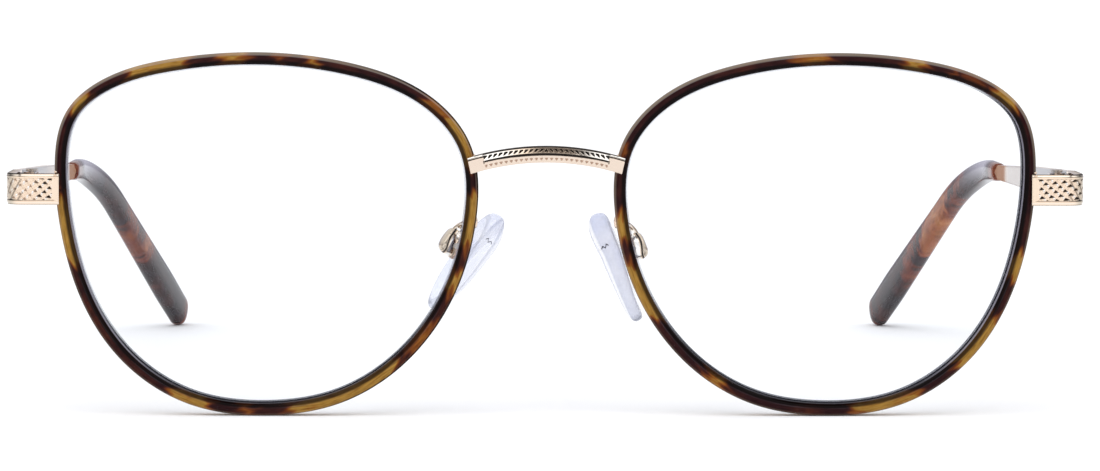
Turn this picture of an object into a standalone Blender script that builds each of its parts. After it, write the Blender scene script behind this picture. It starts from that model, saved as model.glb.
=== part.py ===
"""Optical spectacles: tortoise rims on a rose gold front, clear lenses, folding temples, rocking nose pads.

Lengths are in metres and +Z is up. The wearer looks along -Y, so the temples run towards +Y, and left
and right are the wearer's own, with left at +X. The spectacles stand open on a table at Z = 0, on the
lowest edge of both rims and on both temple tips. The origin is under the middle of their box.

Every piece of the left side is built in the frame of its carrier, where x runs outwards, y runs back and
z runs up. The right side is its mirror image, with its own rest angle at the nose pad.
"""

import math

import bmesh
import bpy
import numpy as np
from mathutils import Matrix, Vector

MM = 0.001
DEGREE = math.pi / 180

# Lenses, measured across the tips of their edge bevels
LENS_WIDTH = 51.8 * MM
LENS_HEIGHT = 44.2 * MM
LENSES_APART = 19.7 * MM
LENS_THICKNESS = 2.0 * MM
BASE_CURVE = 265.0 * MM
WRAP = 1.0 * DEGREE
BEVEL_HEIGHT = 0.55 * MM
BEVEL_WIDTH = 1.0 * MM
LENS_RING_SHARES = (0.08, 0.4, 0.75)

# Outline of the rim as shares of its half width and half height, from the temple side round over the top
OUTLINE_SHARES = (
    (0.97, 0.00), (1.00, 0.31), (0.94, 0.68), (0.755, 0.858), (0.46, 0.96), (0.06, 1.00),
    (-0.42, 0.935), (-0.76, 0.77), (-0.96, 0.50), (-0.99, 0.08), (-0.885, -0.34), (-0.645, -0.72),
    (-0.34, -0.935), (0.00, -1.00), (0.365, -0.94), (0.685, -0.70), (0.885, -0.34),
)
OUTLINE_STEPS = 64
SPLINE_STEPS = 1440

# Tortoise rims: a lip in front, and a skirt behind it that is grooved for the lens
RIM_FACE = 1.6 * MM
RIM_DEPTH = 2.8 * MM
RIM_LIP = 0.85 * MM
RIM_SKIRT = 0.85 * MM
RIM_ROUNDING = 0.35 * MM
BEVEL_IN_RIM = 0.4 * MM
GROOVE_BEHIND_FACE = 1.7 * MM
ROUNDING_SHARES = ((0.0, 1.0), (0.29, 0.29), (1.0, 0.0))

# Clearances
SEAT_GAP = 0.2 * MM
RUNNING_GAP = 0.08 * MM
KNUCKLE_GAP = 0.1 * MM

# Metal eyewires round the skirts, split at the rim locks
EYEWIRE_THICKNESS = 0.4 * MM
EYEWIRE_INSET = 0.15 * MM
EYEWIRE_PAST_RIM = 0.15 * MM
EYEWIRE_SPLIT = 0.3 * MM

# Bridge: an arched bar with a sloping upper face, and a foot to each eyewire
BRIDGE_SPAN = 20.2 * MM
BRIDGE_RISE = 1.5 * MM
BRIDGE_BOW = 0.8 * MM
BRIDGE_HEIGHT = 2.1 * MM
BRIDGE_THICKNESS = 1.5 * MM
BRIDGE_CROWN_HEIGHT = 33.4 * MM
BRIDGE_SLOPE_START = 0.05 * MM
BRIDGE_SLOPE_BACK = 0.55 * MM
BRIDGE_STEPS = 20
FOOT_WIDTH = 0.7 * MM
FOOT_HEIGHT = 1.5 * MM

# Lugs: a strip that laps the rim, turns a round corner and runs back to the hinge
LUG_HEIGHT = 4.0 * MM
LUG_THICKNESS = 1.25 * MM
LUG_LAP = 0.6 * MM
LUG_CORNER_RADIUS = 2.4 * MM
LUG_CORNER_STEPS = 8
LUG_EDGE = 0.15 * MM

# Rim locks: two blocks on the ends of each eyewire, drawn together by a screw from below
LOCK_LENGTH = 2.6 * MM
LOCK_HEIGHT = 1.35 * MM
LOCK_DEPTH = 2.75 * MM
LOCK_THREAD_SHARE = 0.8
LOCK_SHANK_RADIUS = 0.5 * MM
LOCK_HEAD_RADIUS = 0.9 * MM

# Hinges: two knuckles on the lug, one on the arm, and a screw as their pin
HINGE_PAST_RIM = 3.35 * MM
HINGE_BEHIND_RIM = 9.2 * MM
HINGE_HEIGHT = 29.1 * MM
KNUCKLE_RADIUS = 1.1 * MM
FRONT_KNUCKLE = 0.95 * MM
TEMPLE_KNUCKLE = 1.3 * MM
HINGE_PLATE_OFFSET = 0.55 * MM
HINGE_PLATE_THICKNESS = 0.55 * MM
HINGE_PLATE_START = 1.2 * MM
HINGE_PLATE_LENGTH = 3.2 * MM
HINGE_PLATE_HEIGHT = 2.8 * MM
HINGE_WEB_START = 0.35 * MM
HINGE_WEB_INSET = 0.1 * MM
HINGE_STOP_GAP = 0.2 * MM
HINGE_SHANK_RADIUS = 0.45 * MM
HINGE_HEAD_RADIUS = 0.8 * MM
SCREW_HEAD = 0.35 * MM
SCREW_SLOT_WIDTH = 0.25 * MM
SCREW_SLOT_DEPTH = 0.2 * MM

# Temples: a flat arm that ends in a core wire, and an acetate tip round that wire
ARM_HEIGHT = 4.0 * MM
ARM_MID_HEIGHT = 3.4 * MM
ARM_END_HEIGHT = 2.0 * MM
ARM_THICKNESS = 1.2 * MM
ARM_MID = 32.0 * MM
ARM_LENGTH = 68.0 * MM
CORE_RADIUS = 0.6 * MM
CORE_LENGTH = 36.0 * MM
TEMPLE_SPLAY = 2.6 * DEGREE
TEMPLE_DROP = 2.0 * DEGREE
TIP_SPLAY = 14.4 * DEGREE
TIP_DROP = 29.5 * DEGREE
BEND_START = 76.0 * MM
DROP_BEND = 23.8 * MM
SPLAY_BEND = 13.8 * MM
TIP_HEIGHT = 5.0 * MM
TIP_THICKNESS = 2.8 * MM
TIP_END_HEIGHT = 4.6 * MM
TIP_SHARES = ((0.0, 0.50, 0.72), (0.10, 0.58, 0.80), (0.28, 0.70, 1.0), (0.50, 0.76, 1.0), (0.88, 1.0, 1.0))
PATH_STEPS = 900
ARM_STATIONS = 9
CORE_STATIONS = 8
TIP_STATIONS = 16
TIP_CAP_ANGLES = (15 * DEGREE, TIP_DROP, 50 * DEGREE, 70 * DEGREE, 85 * DEGREE)
SECTION_STEPS = 12
ARM_SECTION_POWER = 5.0
TIP_SECTION_POWER = 2.6

# Nose pads, which rock on a screw in a small box at the end of a wire arm. Each is bent to its own set.
PAD_AXIS_OUT = {"left": 11.4 * MM, "right": 11.7 * MM}
PAD_AXIS_BEHIND_RIM = 8.4 * MM
PAD_AXIS_HEIGHT = {"left": 21.1 * MM, "right": 21.6 * MM}
PAD_LEAN = {"left": 22.5 * DEGREE, "right": 35.0 * DEGREE}
PAD_SPLAY = {"left": 3.0 * DEGREE, "right": 14.0 * DEGREE}
PAD_LENGTH = 14.8 * MM
PAD_WIDTH = 7.2 * MM
PAD_THICKNESS = 2.85 * MM
PAD_BACK = 1.5 * MM
PAD_BELOW_AXIS = {"left": 1.65 * MM, "right": 1.25 * MM}
PAD_EGG_SHARE = 0.06
PAD_RING_SHARES = (
    (0.30, 0.0), (0.92, 0.0), (1.00, 0.15), (1.00, 0.45), (0.965, 0.72), (0.86, 0.90), (0.55, 0.985),
    (0.06, 1.0),
)
PAD_STEPS = 20
BOX_OUTER = 1.5 * MM
BOX_MOUTH = 1.0 * MM
BOX_HEIGHT = 3.4 * MM
BOX_WIDTH = 2.8 * MM
BOX_WALL = 0.35 * MM
BOX_SLOT_HEIGHT = 2.4 * MM
BOX_ROUNDING = 0.6 * MM
INSERT_THICKNESS = 1.0 * MM
INSERT_EYE_RADIUS = 0.85 * MM
INSERT_STEM_HEIGHT = 1.1 * MM
INSERT_BASE_HEIGHT = 3.8 * MM
INSERT_BASE_WIDTH = 2.2 * MM
INSERT_BASE_THICKNESS = 0.6 * MM
PAD_POCKET_DEPTH = 1.35 * MM
PAD_SHANK_RADIUS = 0.4 * MM
PAD_HEAD_RADIUS = 0.65 * MM
PAD_WIRE_HEIGHT = 24.3 * MM
PAD_WIRE_RADIUS = 0.45 * MM
PAD_WIRE_BOX_RADIUS = 0.75 * MM
PAD_WIRE_LEAVE_SHARES = (0.4, 0.6)
PAD_WIRE_ARRIVE_SHARE = 0.3
PAD_WIRE_STEPS = 12

# Round pieces and cutters
FINE_STEPS = 20
OVERRUN = 0.5 * MM
WELD = 0.001 * MM

# Edges sharper than this stay crisp
CREASE_ANGLE = 40 * DEGREE

# Materials: colour as red, green and blue, then roughness, metallic value and transmission
FINISHES = {
    "rose_gold": ((0.83, 0.56, 0.42), 0.2, 1.0, 0.0),
    "tortoise": ((0.16, 0.07, 0.03), 0.18, 0.0, 0.0),
    "clear": ((0.95, 0.96, 0.98), 0.02, 0.0, 1.0),
    "silicone": ((0.84, 0.85, 0.93), 0.15, 0.0, 0.8),
    "steel": ((0.62, 0.60, 0.58), 0.3, 1.0, 0.0),
}

# What follows from the sizes above
RIM_PAST_LENS = RIM_FACE - BEVEL_IN_RIM
RIM_HALF_WIDTH = LENS_WIDTH / 2 + RIM_PAST_LENS
RIM_HALF_HEIGHT = LENS_HEIGHT / 2 + RIM_PAST_LENS
EYE_CENTRE_X = (LENSES_APART + LENS_WIDTH) / 2
EYE_CENTRE_Z = RIM_HALF_HEIGHT
HINGE_HALF_SPAN = EYE_CENTRE_X + RIM_HALF_WIDTH + HINGE_PAST_RIM
ARM_FACE = HINGE_PLATE_OFFSET + HINGE_PLATE_THICKNESS + SEAT_GAP
KNUCKLE_STACK = TEMPLE_KNUCKLE + 2 * (FRONT_KNUCKLE + KNUCKLE_GAP)
TIP_END_RADIUS = TIP_END_HEIGHT / 2
FLIP_X = Matrix.Scale(-1, 4, Vector((1, 0, 0)))


def clear_scene():
    for obj in list(bpy.data.objects):
        bpy.data.objects.remove(obj)


def new_collection(name):
    collection = bpy.data.collections.new(name)
    bpy.context.scene.collection.children.link(collection)
    return collection


def new_material(name, colour, roughness, metallic, transmission):
    material = bpy.data.materials.new(name)
    material.use_nodes = True
    shader = material.node_tree.nodes["Principled BSDF"]
    shader.inputs["Base Color"].default_value = (*colour, 1.0)
    shader.inputs["Roughness"].default_value = roughness
    shader.inputs["Metallic"].default_value = metallic
    shader.inputs["Transmission Weight"].default_value = transmission
    material.diffuse_color = (*colour, 1.0)
    return material


def new_object(name, data, parent, material=None, smooth=True):
    """A part under its carrier."""
    obj = bpy.data.objects.new(name, data)
    PARTS.objects.link(obj)
    obj.parent = parent
    if material:
        data.materials.append(material)
    if smooth and isinstance(data, bpy.types.Mesh):
        data.shade_smooth()
        data.set_sharp_from_angle(angle=CREASE_ANGLE)
    return obj


def as_cutter(obj):
    """Moves a shape to the cutters, which aren't drawn."""
    PARTS.objects.unlink(obj)
    CUTTERS.objects.link(obj)
    obj.hide_render = True
    obj.display_type = "WIRE"
    return obj


def new_empty(name, location, parent=None, turn=None):
    """An empty, turned by a rotation matrix where one is given."""
    empty = bpy.data.objects.new(name, None)
    PARTS.objects.link(empty)
    empty.parent = parent
    empty.empty_display_size = OVERRUN
    empty.matrix_basis = Matrix.Translation(location) @ (turn.to_4x4() if turn else Matrix.Identity(4))
    return empty


def boolean(obj, other, operation):
    modifier = obj.modifiers.new(operation.lower() + "_" + other.name, "BOOLEAN")
    modifier.operation = operation
    modifier.object = as_cutter(other)
    return obj


def bevel(obj, width, segments=1):
    modifier = obj.modifiers.new("bevel", "BEVEL")
    modifier.width = width
    modifier.segments = segments
    modifier.limit_method = "ANGLE"
    return obj


def mesh_from(name, bm):
    mesh = bpy.data.meshes.new(name)
    bm.to_mesh(mesh)
    bm.free()
    return mesh


def block(name, low, high, parent, material=None, turn=None):
    """A box between two corners, turned about the carrier's origin where a matrix is given."""
    low, high = Vector(low), Vector(high)
    bm = bmesh.new()
    place = Matrix.Translation((low + high) / 2) @ Matrix.Diagonal(high - low).to_4x4()
    bmesh.ops.create_cube(bm, size=1.0, matrix=place)
    if turn:
        bm.transform(turn)
    return new_object(name, mesh_from(name, bm), parent, material, smooth=False)


def rod(name, radius, start, end, parent, material=None, steps=FINE_STEPS):
    """A cylinder from one point to another."""
    start, end = Vector(start), Vector(end)
    along = end - start
    turn = along.to_track_quat("Z", "Y").to_matrix().to_4x4()
    bm = bmesh.new()
    bmesh.ops.create_cone(
        bm, cap_ends=True, segments=steps, radius1=radius, radius2=radius, depth=along.length,
        matrix=Matrix.Translation((start + end) / 2) @ turn,
    )
    return new_object(name, mesh_from(name, bm), parent, material)


def slotted_screw(name, shank_radius, head_radius, length, head_point, axis, parent):
    """A turned screw: its head's underside is at head_point, its shank runs against the axis from there."""
    profile = (
        (0.0, SCREW_HEAD), (head_radius, SCREW_HEAD), (head_radius, 0.0), (shank_radius, 0.0),
        (shank_radius, -length), (0.0, -length),
    )
    mesh = bpy.data.meshes.new(name)
    points = [(x, 0.0, z) for x, z in profile]
    mesh.from_pydata(points, [(i, i + 1) for i in range(len(points) - 1)], [])
    screw = new_object(name, mesh, parent, MATERIALS["steel"], smooth=False)
    turned = screw.modifiers.new("turned", "SCREW")
    turned.steps = turned.render_steps = FINE_STEPS
    turned.use_merge_vertices = True
    turned.merge_threshold = WELD
    turn = Vector(axis).to_track_quat("Z", "Y").to_matrix().to_4x4()
    screw.matrix_basis = Matrix.Translation(head_point) @ turn
    slot = block(
        name + "_slot", (-head_radius - OVERRUN, -SCREW_SLOT_WIDTH / 2, SCREW_HEAD - SCREW_SLOT_DEPTH),
        (head_radius + OVERRUN, SCREW_SLOT_WIDTH / 2, SCREW_HEAD + OVERRUN), parent,
    )
    slot.matrix_basis = screw.matrix_basis.copy()
    return boolean(screw, slot, "DIFFERENCE")


def loft(name, rings, parent, material=None, smooth=True):
    """A closed skin over rings of equal count, with a flat cap on the first and the last."""
    rings = np.asarray(rings)
    count, steps = rings.shape[:2]
    bm = bmesh.new()
    verts = [[bm.verts.new(point) for point in ring] for ring in rings]
    for i in range(count - 1):
        for j in range(steps):
            k = (j + 1) % steps
            bm.faces.new((verts[i][j], verts[i][k], verts[i + 1][k], verts[i + 1][j]))
    bm.faces.new(verts[0])
    bm.faces.new(verts[-1])
    bmesh.ops.recalc_face_normals(bm, faces=bm.faces)
    return new_object(name, mesh_from(name, bm), parent, material, smooth)


def flat_curve(name, points, cyclic):
    """A flat poly curve, used as a path, as a section or as a plate's outline."""
    curve = bpy.data.curves.new(name, "CURVE")
    curve.dimensions = "2D"
    spline = curve.splines.new("POLY")
    spline.points.add(len(points) - 1)
    for target, (x, y) in zip(spline.points, points):
        target.co = (x, y, 0.0, 1.0)
    spline.use_cyclic_u = cyclic
    obj = bpy.data.objects.new(name, curve)
    CUTTERS.objects.link(obj)
    obj.hide_render = True
    return obj


def mesh_of_curve(curve_obj, name):
    """The curve's mesh with its caps welded on. The curve and its section are removed."""
    bpy.context.view_layer.update()
    graph = bpy.context.evaluated_depsgraph_get()
    mesh = bpy.data.meshes.new_from_object(curve_obj.evaluated_get(graph))
    mesh.name = name
    bm = bmesh.new()
    bm.from_mesh(mesh)
    bmesh.ops.remove_doubles(bm, verts=bm.verts, dist=WELD)
    bmesh.ops.recalc_face_normals(bm, faces=bm.faces)
    bm.to_mesh(mesh)
    bm.free()
    for helper in (curve_obj, curve_obj.data.bevel_object):
        if helper:
            bpy.data.objects.remove(helper)
    return mesh


def closed_spline(points, count):
    """A periodic cubic through the points, evenly spaced by the spline's own parameter."""
    points = np.asarray(points)
    n = len(points)
    chord = np.linalg.norm(np.roll(points, -1, 0) - points, axis=1)
    system = np.zeros((n, n))
    pull = np.zeros_like(points)
    for i in range(n):
        before, after = chord[i - 1], chord[i]
        system[i, i] = 2 * (before + after)
        system[i, i - 1] += before
        system[i, (i + 1) % n] += after
        rise_after = (points[(i + 1) % n] - points[i]) / after
        rise_before = (points[i] - points[i - 1]) / before
        pull[i] = 6 * (rise_after - rise_before)
    bend = np.linalg.solve(system, pull)
    knots = np.concatenate([[0.0], np.cumsum(chord)])
    at = np.linspace(0.0, knots[-1], count, endpoint=False)
    k = np.clip(np.searchsorted(knots, at, side="right") - 1, 0, n - 1)
    nxt = (k + 1) % n
    h = chord[k][:, None]
    u = (at - knots[k])[:, None]
    curve = (bend[k] * (h - u) ** 3 + bend[nxt] * u**3) / (6 * h)
    return curve + (points[k] / h - bend[k] * h / 6) * (h - u) + (points[nxt] / h - bend[nxt] * h / 6) * u


def rim_outline():
    """The left rim's outer edge as (x, z), evenly spaced, from the hinge's height up over the top."""
    shares = np.array(OUTLINE_SHARES)
    dense = closed_spline(shares * (RIM_HALF_WIDTH, RIM_HALF_HEIGHT), SPLINE_STEPS)
    dense = dense + (EYE_CENTRE_X, EYE_CENTRE_Z)
    outer_side = dense[:, 0] > EYE_CENTRE_X
    first = np.argmin(np.where(outer_side, np.abs(dense[:, 1] - HINGE_HEIGHT), np.inf))
    dense = np.roll(dense, -first, axis=0)
    dense = np.vstack([dense, dense[:1]])
    run = np.concatenate([[0.0], np.cumsum(np.linalg.norm(np.diff(dense, axis=0), axis=1))])
    at = np.linspace(0.0, run[-1], OUTLINE_STEPS, endpoint=False)
    return np.column_stack([np.interp(at, run, dense[:, 0]), np.interp(at, run, dense[:, 1])])


def offset(outline, distance):
    """The outline moved outwards along its own normals."""
    along = np.roll(outline, -1, 0) - np.roll(outline, 1, 0)
    along /= np.linalg.norm(along, axis=1)[:, None]
    return outline + distance * np.column_stack([along[:, 1], -along[:, 0]])


def dish(x, z):
    """How far the lens's base curve and the front's wrap carry a point back from the rim's front plane."""
    across, up = x - EYE_CENTRE_X, z - EYE_CENTRE_Z
    return (across**2 + up**2) / (2 * BASE_CURVE) + across * math.tan(WRAP)


def dished(mesh):
    """The mesh, laid on the base curve."""
    for vertex in mesh.vertices:
        vertex.co.y += dish(vertex.co.x, vertex.co.z)
    return mesh


def carried_section(name, outline, section, closed):
    """A section of (inset, depth) points carried along an outline, and laid on the base curve.

    A closed flat curve measures its section inwards and an open one outwards.
    """
    inwards = 1 if closed else -1
    path = flat_curve(name + "_path", outline, closed)
    path.data.bevel_mode = "OBJECT"
    path.data.bevel_object = flat_curve(
        name + "_section", [(inwards * inset, -depth) for inset, depth in section], True
    )
    path.data.fill_mode = "NONE"
    path.data.use_fill_caps = not closed
    mesh = mesh_of_curve(path, name)
    mesh.transform(Matrix.Rotation(math.pi / 2, 4, "X"))
    return dished(mesh)


def make_rim(side):
    """The tortoise ring: a rounded lip in front, and a grooved skirt behind it."""
    r = RIM_ROUNDING
    outer_edge = [(r * across, r * back) for across, back in ROUNDING_SHARES]
    inner_edge = [(RIM_FACE - across, back) for across, back in reversed(outer_edge)]
    groove_depth = BEVEL_IN_RIM + SEAT_GAP
    groove_half = groove_depth * (BEVEL_WIDTH / 2) / BEVEL_HEIGHT
    section = [
        *outer_edge, *inner_edge,
        (RIM_FACE, GROOVE_BEHIND_FACE - groove_half), (RIM_FACE - groove_depth, GROOVE_BEHIND_FACE),
        (RIM_FACE, GROOVE_BEHIND_FACE + groove_half), (RIM_FACE, RIM_DEPTH),
        (RIM_FACE - RIM_SKIRT, RIM_DEPTH), (RIM_FACE - RIM_SKIRT, RIM_LIP), (0.0, RIM_LIP),
    ]
    mesh = carried_section(side.name + "_rim", rim_outline(), section, closed=True)
    return new_object(side.name + "_rim", mesh, FRONT, MATERIALS["tortoise"])


def make_eyewire(side):
    """The metal band round the skirt, open at the rim lock."""
    outline = rim_outline()
    start = outline[0]
    after = outline[1] - start
    before = outline[-1] - start
    half_split = EYEWIRE_SPLIT / 2
    path = np.vstack([
        start + after * half_split / np.linalg.norm(after),
        outline[1:],
        start + before * half_split / np.linalg.norm(before),
    ])
    front, back = RIM_LIP + SEAT_GAP, RIM_DEPTH + EYEWIRE_PAST_RIM
    outer, inner = EYEWIRE_INSET, EYEWIRE_INSET + EYEWIRE_THICKNESS
    section = [(outer, front), (inner, front), (inner, back), (outer, back)]
    mesh = carried_section(side.name + "_eyewire", path, section, closed=False)
    return new_object(side.name + "_eyewire", mesh, FRONT, MATERIALS["rose_gold"])


def make_lens(side):
    """The lens: two faces on the base curve, and a V bevel round the edge that sits in the rim's groove."""
    tip = offset(rim_outline(), -RIM_PAST_LENS)
    edge = offset(rim_outline(), -RIM_PAST_LENS - BEVEL_HEIGHT)
    middle = (EYE_CENTRE_X, EYE_CENTRE_Z)
    faces = [middle + (edge - middle) * share for share in LENS_RING_SHARES]
    half = LENS_THICKNESS / 2
    bevel_foot = BEVEL_WIDTH / 2
    flat_rings = [(ring, -half) for ring in faces]
    flat_rings += [(edge, -half), (edge, -bevel_foot), (tip, 0.0), (edge, bevel_foot), (edge, half)]
    flat_rings += [(ring, half) for ring in reversed(faces)]
    rings = []
    for ring, depth in flat_rings:
        back = GROOVE_BEHIND_FACE + depth + dish(ring[:, 0], ring[:, 1])
        rings.append(np.column_stack([ring[:, 0], back, ring[:, 1]]))
    return loft(side.name + "_lens", rings, FRONT, MATERIALS["clear"])


def hinge_plan(outwards, back):
    """A point in plan, given outwards from the hinge axis and back along the temple, as (x, y)."""
    c, s = math.cos(TEMPLE_SPLAY), math.sin(TEMPLE_SPLAY)
    return np.array([
        HINGE_HALF_SPAN + c * outwards - s * back,
        HINGE_BEHIND_RIM + s * outwards + c * back,
    ])


def lug_back():
    """How far back the lug's plate reaches, clear of the rim that it laps."""
    return dish(EYE_CENTRE_X + RIM_HALF_WIDTH, HINGE_HEIGHT) - SEAT_GAP


def lug_middle_line():
    """The middle of the lug's strip in plan, from the rim round the corner to the hinge."""
    half = LUG_THICKNESS / 2
    start = np.array([EYE_CENTRE_X + RIM_HALF_WIDTH - LUG_LAP, lug_back() - half])
    end = hinge_plan(ARM_FACE + half, -HINGE_STOP_GAP / 2)
    side = hinge_plan(0.0, -1.0) - hinge_plan(0.0, 0.0)
    corner = end + side * (start[1] - end[1]) / side[1]
    turn = math.pi / 2 + TEMPLE_SPLAY
    radius = LUG_CORNER_RADIUS - half
    centre = corner + np.array([-radius * math.tan(turn / 2), radius])
    angles = np.linspace(0.0, turn, LUG_CORNER_STEPS + 1)
    arc = centre + radius * np.column_stack([np.sin(angles), -np.cos(angles)])
    return np.vstack([start, arc, end])


def make_lug(side):
    """The end piece: the strip's outline in plan, raised to its height."""
    name = side.name + "_lug"
    line = lug_middle_line()
    along = np.gradient(line, axis=0)
    along[0] = line[1] - line[0]
    along[-1] = line[-1] - line[-2]
    along[1] = along[0]
    along[-2] = along[-1]
    along /= np.linalg.norm(along, axis=1)[:, None]
    outward = np.column_stack([along[:, 1], -along[:, 0]]) * LUG_THICKNESS / 2
    outline = np.vstack([line + outward, (line - outward)[::-1]])
    plate = flat_curve(name + "_outline", outline, True)
    plate.data.fill_mode = "BOTH"
    plate.data.extrude = LUG_HEIGHT / 2
    lug = new_object(name, mesh_of_curve(plate, name), FRONT, MATERIALS["rose_gold"])
    lug.location.z = HINGE_HEIGHT
    return bevel(lug, LUG_EDGE)


def lock_place():
    """The lock's nearest x, its front face, its back face and its screw's x and y."""
    near = EYE_CENTRE_X + RIM_HALF_WIDTH + SEAT_GAP
    front = lug_back() + SEAT_GAP
    return near, front, front + LOCK_DEPTH, near + LOCK_LENGTH / 2, front + LOCK_DEPTH / 2


def make_locks(side):
    """Two blocks above and below the eyewire's split, and the screw that joins them."""
    near, front, back, screw_x, screw_y = lock_place()
    gap = EYEWIRE_SPLIT / 2
    thread = LOCK_HEIGHT * LOCK_THREAD_SHARE
    upper = block(
        side.name + "_lock_upper", (near, front, HINGE_HEIGHT + gap),
        (near + LOCK_LENGTH, back, HINGE_HEIGHT + gap + LOCK_HEIGHT), FRONT, MATERIALS["rose_gold"],
    )
    lower = block(
        side.name + "_lock_lower", (near, front, HINGE_HEIGHT - gap - LOCK_HEIGHT),
        (near + LOCK_LENGTH, back, HINGE_HEIGHT - gap), FRONT, MATERIALS["rose_gold"],
    )
    for piece, low, high in (
        (upper, HINGE_HEIGHT - OVERRUN, HINGE_HEIGHT + gap + thread),
        (lower, HINGE_HEIGHT - gap - LOCK_HEIGHT - OVERRUN, HINGE_HEIGHT + OVERRUN),
    ):
        bore = rod(
            piece.name + "_bore", LOCK_SHANK_RADIUS + RUNNING_GAP,
            (screw_x, screw_y, low), (screw_x, screw_y, high), FRONT,
        )
        boolean(piece, bore, "DIFFERENCE")
    seat = HINGE_HEIGHT - gap - LOCK_HEIGHT - RUNNING_GAP
    length = HINGE_HEIGHT + gap + thread - RUNNING_GAP - seat
    slotted_screw(
        side.name + "_lock_screw", LOCK_SHANK_RADIUS, LOCK_HEAD_RADIUS, length, (screw_x, screw_y, seat),
        (0.0, 0.0, -1.0), FRONT,
    )


def make_bridge():
    """An arched bar, bowed forwards, whose upper face slopes back, with a foot beside each eyewire."""
    half = BRIDGE_SPAN / 2
    radius = (half**2 + BRIDGE_RISE**2) / (2 * BRIDGE_RISE)
    end_z = BRIDGE_CROWN_HEIGHT - BRIDGE_RISE
    back = dish(half, end_z) - SEAT_GAP
    low, high = -BRIDGE_HEIGHT / 2, BRIDGE_HEIGHT / 2
    section = (
        (low, back - BRIDGE_THICKNESS), (BRIDGE_SLOPE_START, back - BRIDGE_THICKNESS),
        (high, back - BRIDGE_THICKNESS + BRIDGE_SLOPE_BACK), (high, back), (low, back),
    )
    rings = []
    for share in np.linspace(-1.0, 1.0, BRIDGE_STEPS + 1):
        x = share * half
        bow = BRIDGE_BOW * (1 - share**2)
        middle = BRIDGE_CROWN_HEIGHT - radius + math.sqrt(radius**2 - x**2)
        rings.append([(x, depth - bow, middle + up) for up, depth in section])
    bridge = loft("bridge", rings, FRONT, MATERIALS["rose_gold"], smooth=False)
    outline = rim_outline()
    inner_side = outline[outline[:, 0] < EYE_CENTRE_X]
    foot_z = end_z + FOOT_HEIGHT / 4
    order = np.argsort(inner_side[:, 1])
    rim_edge = np.interp(foot_z, inner_side[order, 1], inner_side[order, 0])
    foot_out = rim_edge - SEAT_GAP
    foot_back = dish(rim_edge, foot_z) + RIM_DEPTH + EYEWIRE_PAST_RIM
    for side, name in ((1, "left"), (-1, "right")):
        xs = sorted((side * (foot_out - FOOT_WIDTH), side * foot_out))
        foot = block(
            "bridge_foot_" + name, (xs[0], back - BRIDGE_THICKNESS / 2, foot_z - FOOT_HEIGHT / 2),
            (xs[1], foot_back, foot_z + FOOT_HEIGHT / 2), FRONT,
        )
        boolean(bridge, foot, "UNION")
    return bridge


def turned_block(name, low, high, carrier, material=None):
    """A box in the slanted frame of the hinge, which follows the temple's splay."""
    return block(name, low, high, carrier, material, turn=Matrix.Rotation(TEMPLE_SPLAY, 4, "Z"))


def make_hinge_half(name, spans, direction, carrier):
    """A plate with knuckles at the given spans of height, each on a web; before or behind the axis."""
    near, far = HINGE_PLATE_START, HINGE_PLATE_START + HINGE_PLATE_LENGTH
    ys = sorted((direction * near, direction * far))
    tall = HINGE_PLATE_HEIGHT / 2
    face = HINGE_PLATE_OFFSET + HINGE_PLATE_THICKNESS
    half = turned_block(
        name, (HINGE_PLATE_OFFSET, ys[0], -tall), (face, ys[1], tall), carrier, MATERIALS["rose_gold"]
    )
    ys = sorted((direction * HINGE_WEB_START, direction * (near + HINGE_WEB_START)))
    for i, (low, high) in enumerate(spans):
        label = name + "_" + str(i + 1)
        web = turned_block(
            label + "_web", (0.0, ys[0], low + HINGE_WEB_INSET),
            (HINGE_PLATE_OFFSET + HINGE_PLATE_THICKNESS / 2, ys[1], high - HINGE_WEB_INSET), carrier,
        )
        boolean(half, web, "UNION")
        knuckle = rod(label + "_knuckle", KNUCKLE_RADIUS, (0.0, 0.0, low), (0.0, 0.0, high), carrier)
        boolean(half, knuckle, "UNION")
    reach = KNUCKLE_STACK / 2 + OVERRUN
    bore_radius = HINGE_SHANK_RADIUS + RUNNING_GAP
    bore = rod(name + "_bore", bore_radius, (0.0, 0.0, -reach), (0.0, 0.0, reach), carrier)
    return boolean(half, bore, "DIFFERENCE")


def make_hinge(side):
    """The front half with two knuckles, the temple half with one between them, and their screw."""
    inner = TEMPLE_KNUCKLE / 2
    start = inner + KNUCKLE_GAP
    end = start + FRONT_KNUCKLE
    make_hinge_half(side.name + "_front_hinge", ((start, end), (-end, -start)), -1, side.hinge)
    make_hinge_half(side.name + "_temple_hinge", ((-inner, inner),), 1, side.temple)
    head_z = end + RUNNING_GAP
    slotted_screw(
        side.name + "_hinge_screw", HINGE_SHANK_RADIUS, HINGE_HEAD_RADIUS, head_z + end, (0.0, 0.0, head_z),
        (0.0, 0.0, 1.0), side.hinge,
    )


def temple_angles(run):
    """Inward and downward angle along the temple: straight, an even bend over the ear, then straight."""
    inwards = np.clip((run - BEND_START) / SPLAY_BEND, 0.0, 1.0)
    down = np.clip((run - BEND_START) / DROP_BEND, 0.0, 1.0)
    splay = TEMPLE_SPLAY + (TIP_SPLAY - TEMPLE_SPLAY) * inwards
    drop = TEMPLE_DROP + (TIP_DROP - TEMPLE_DROP) * down
    return splay, drop


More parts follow.
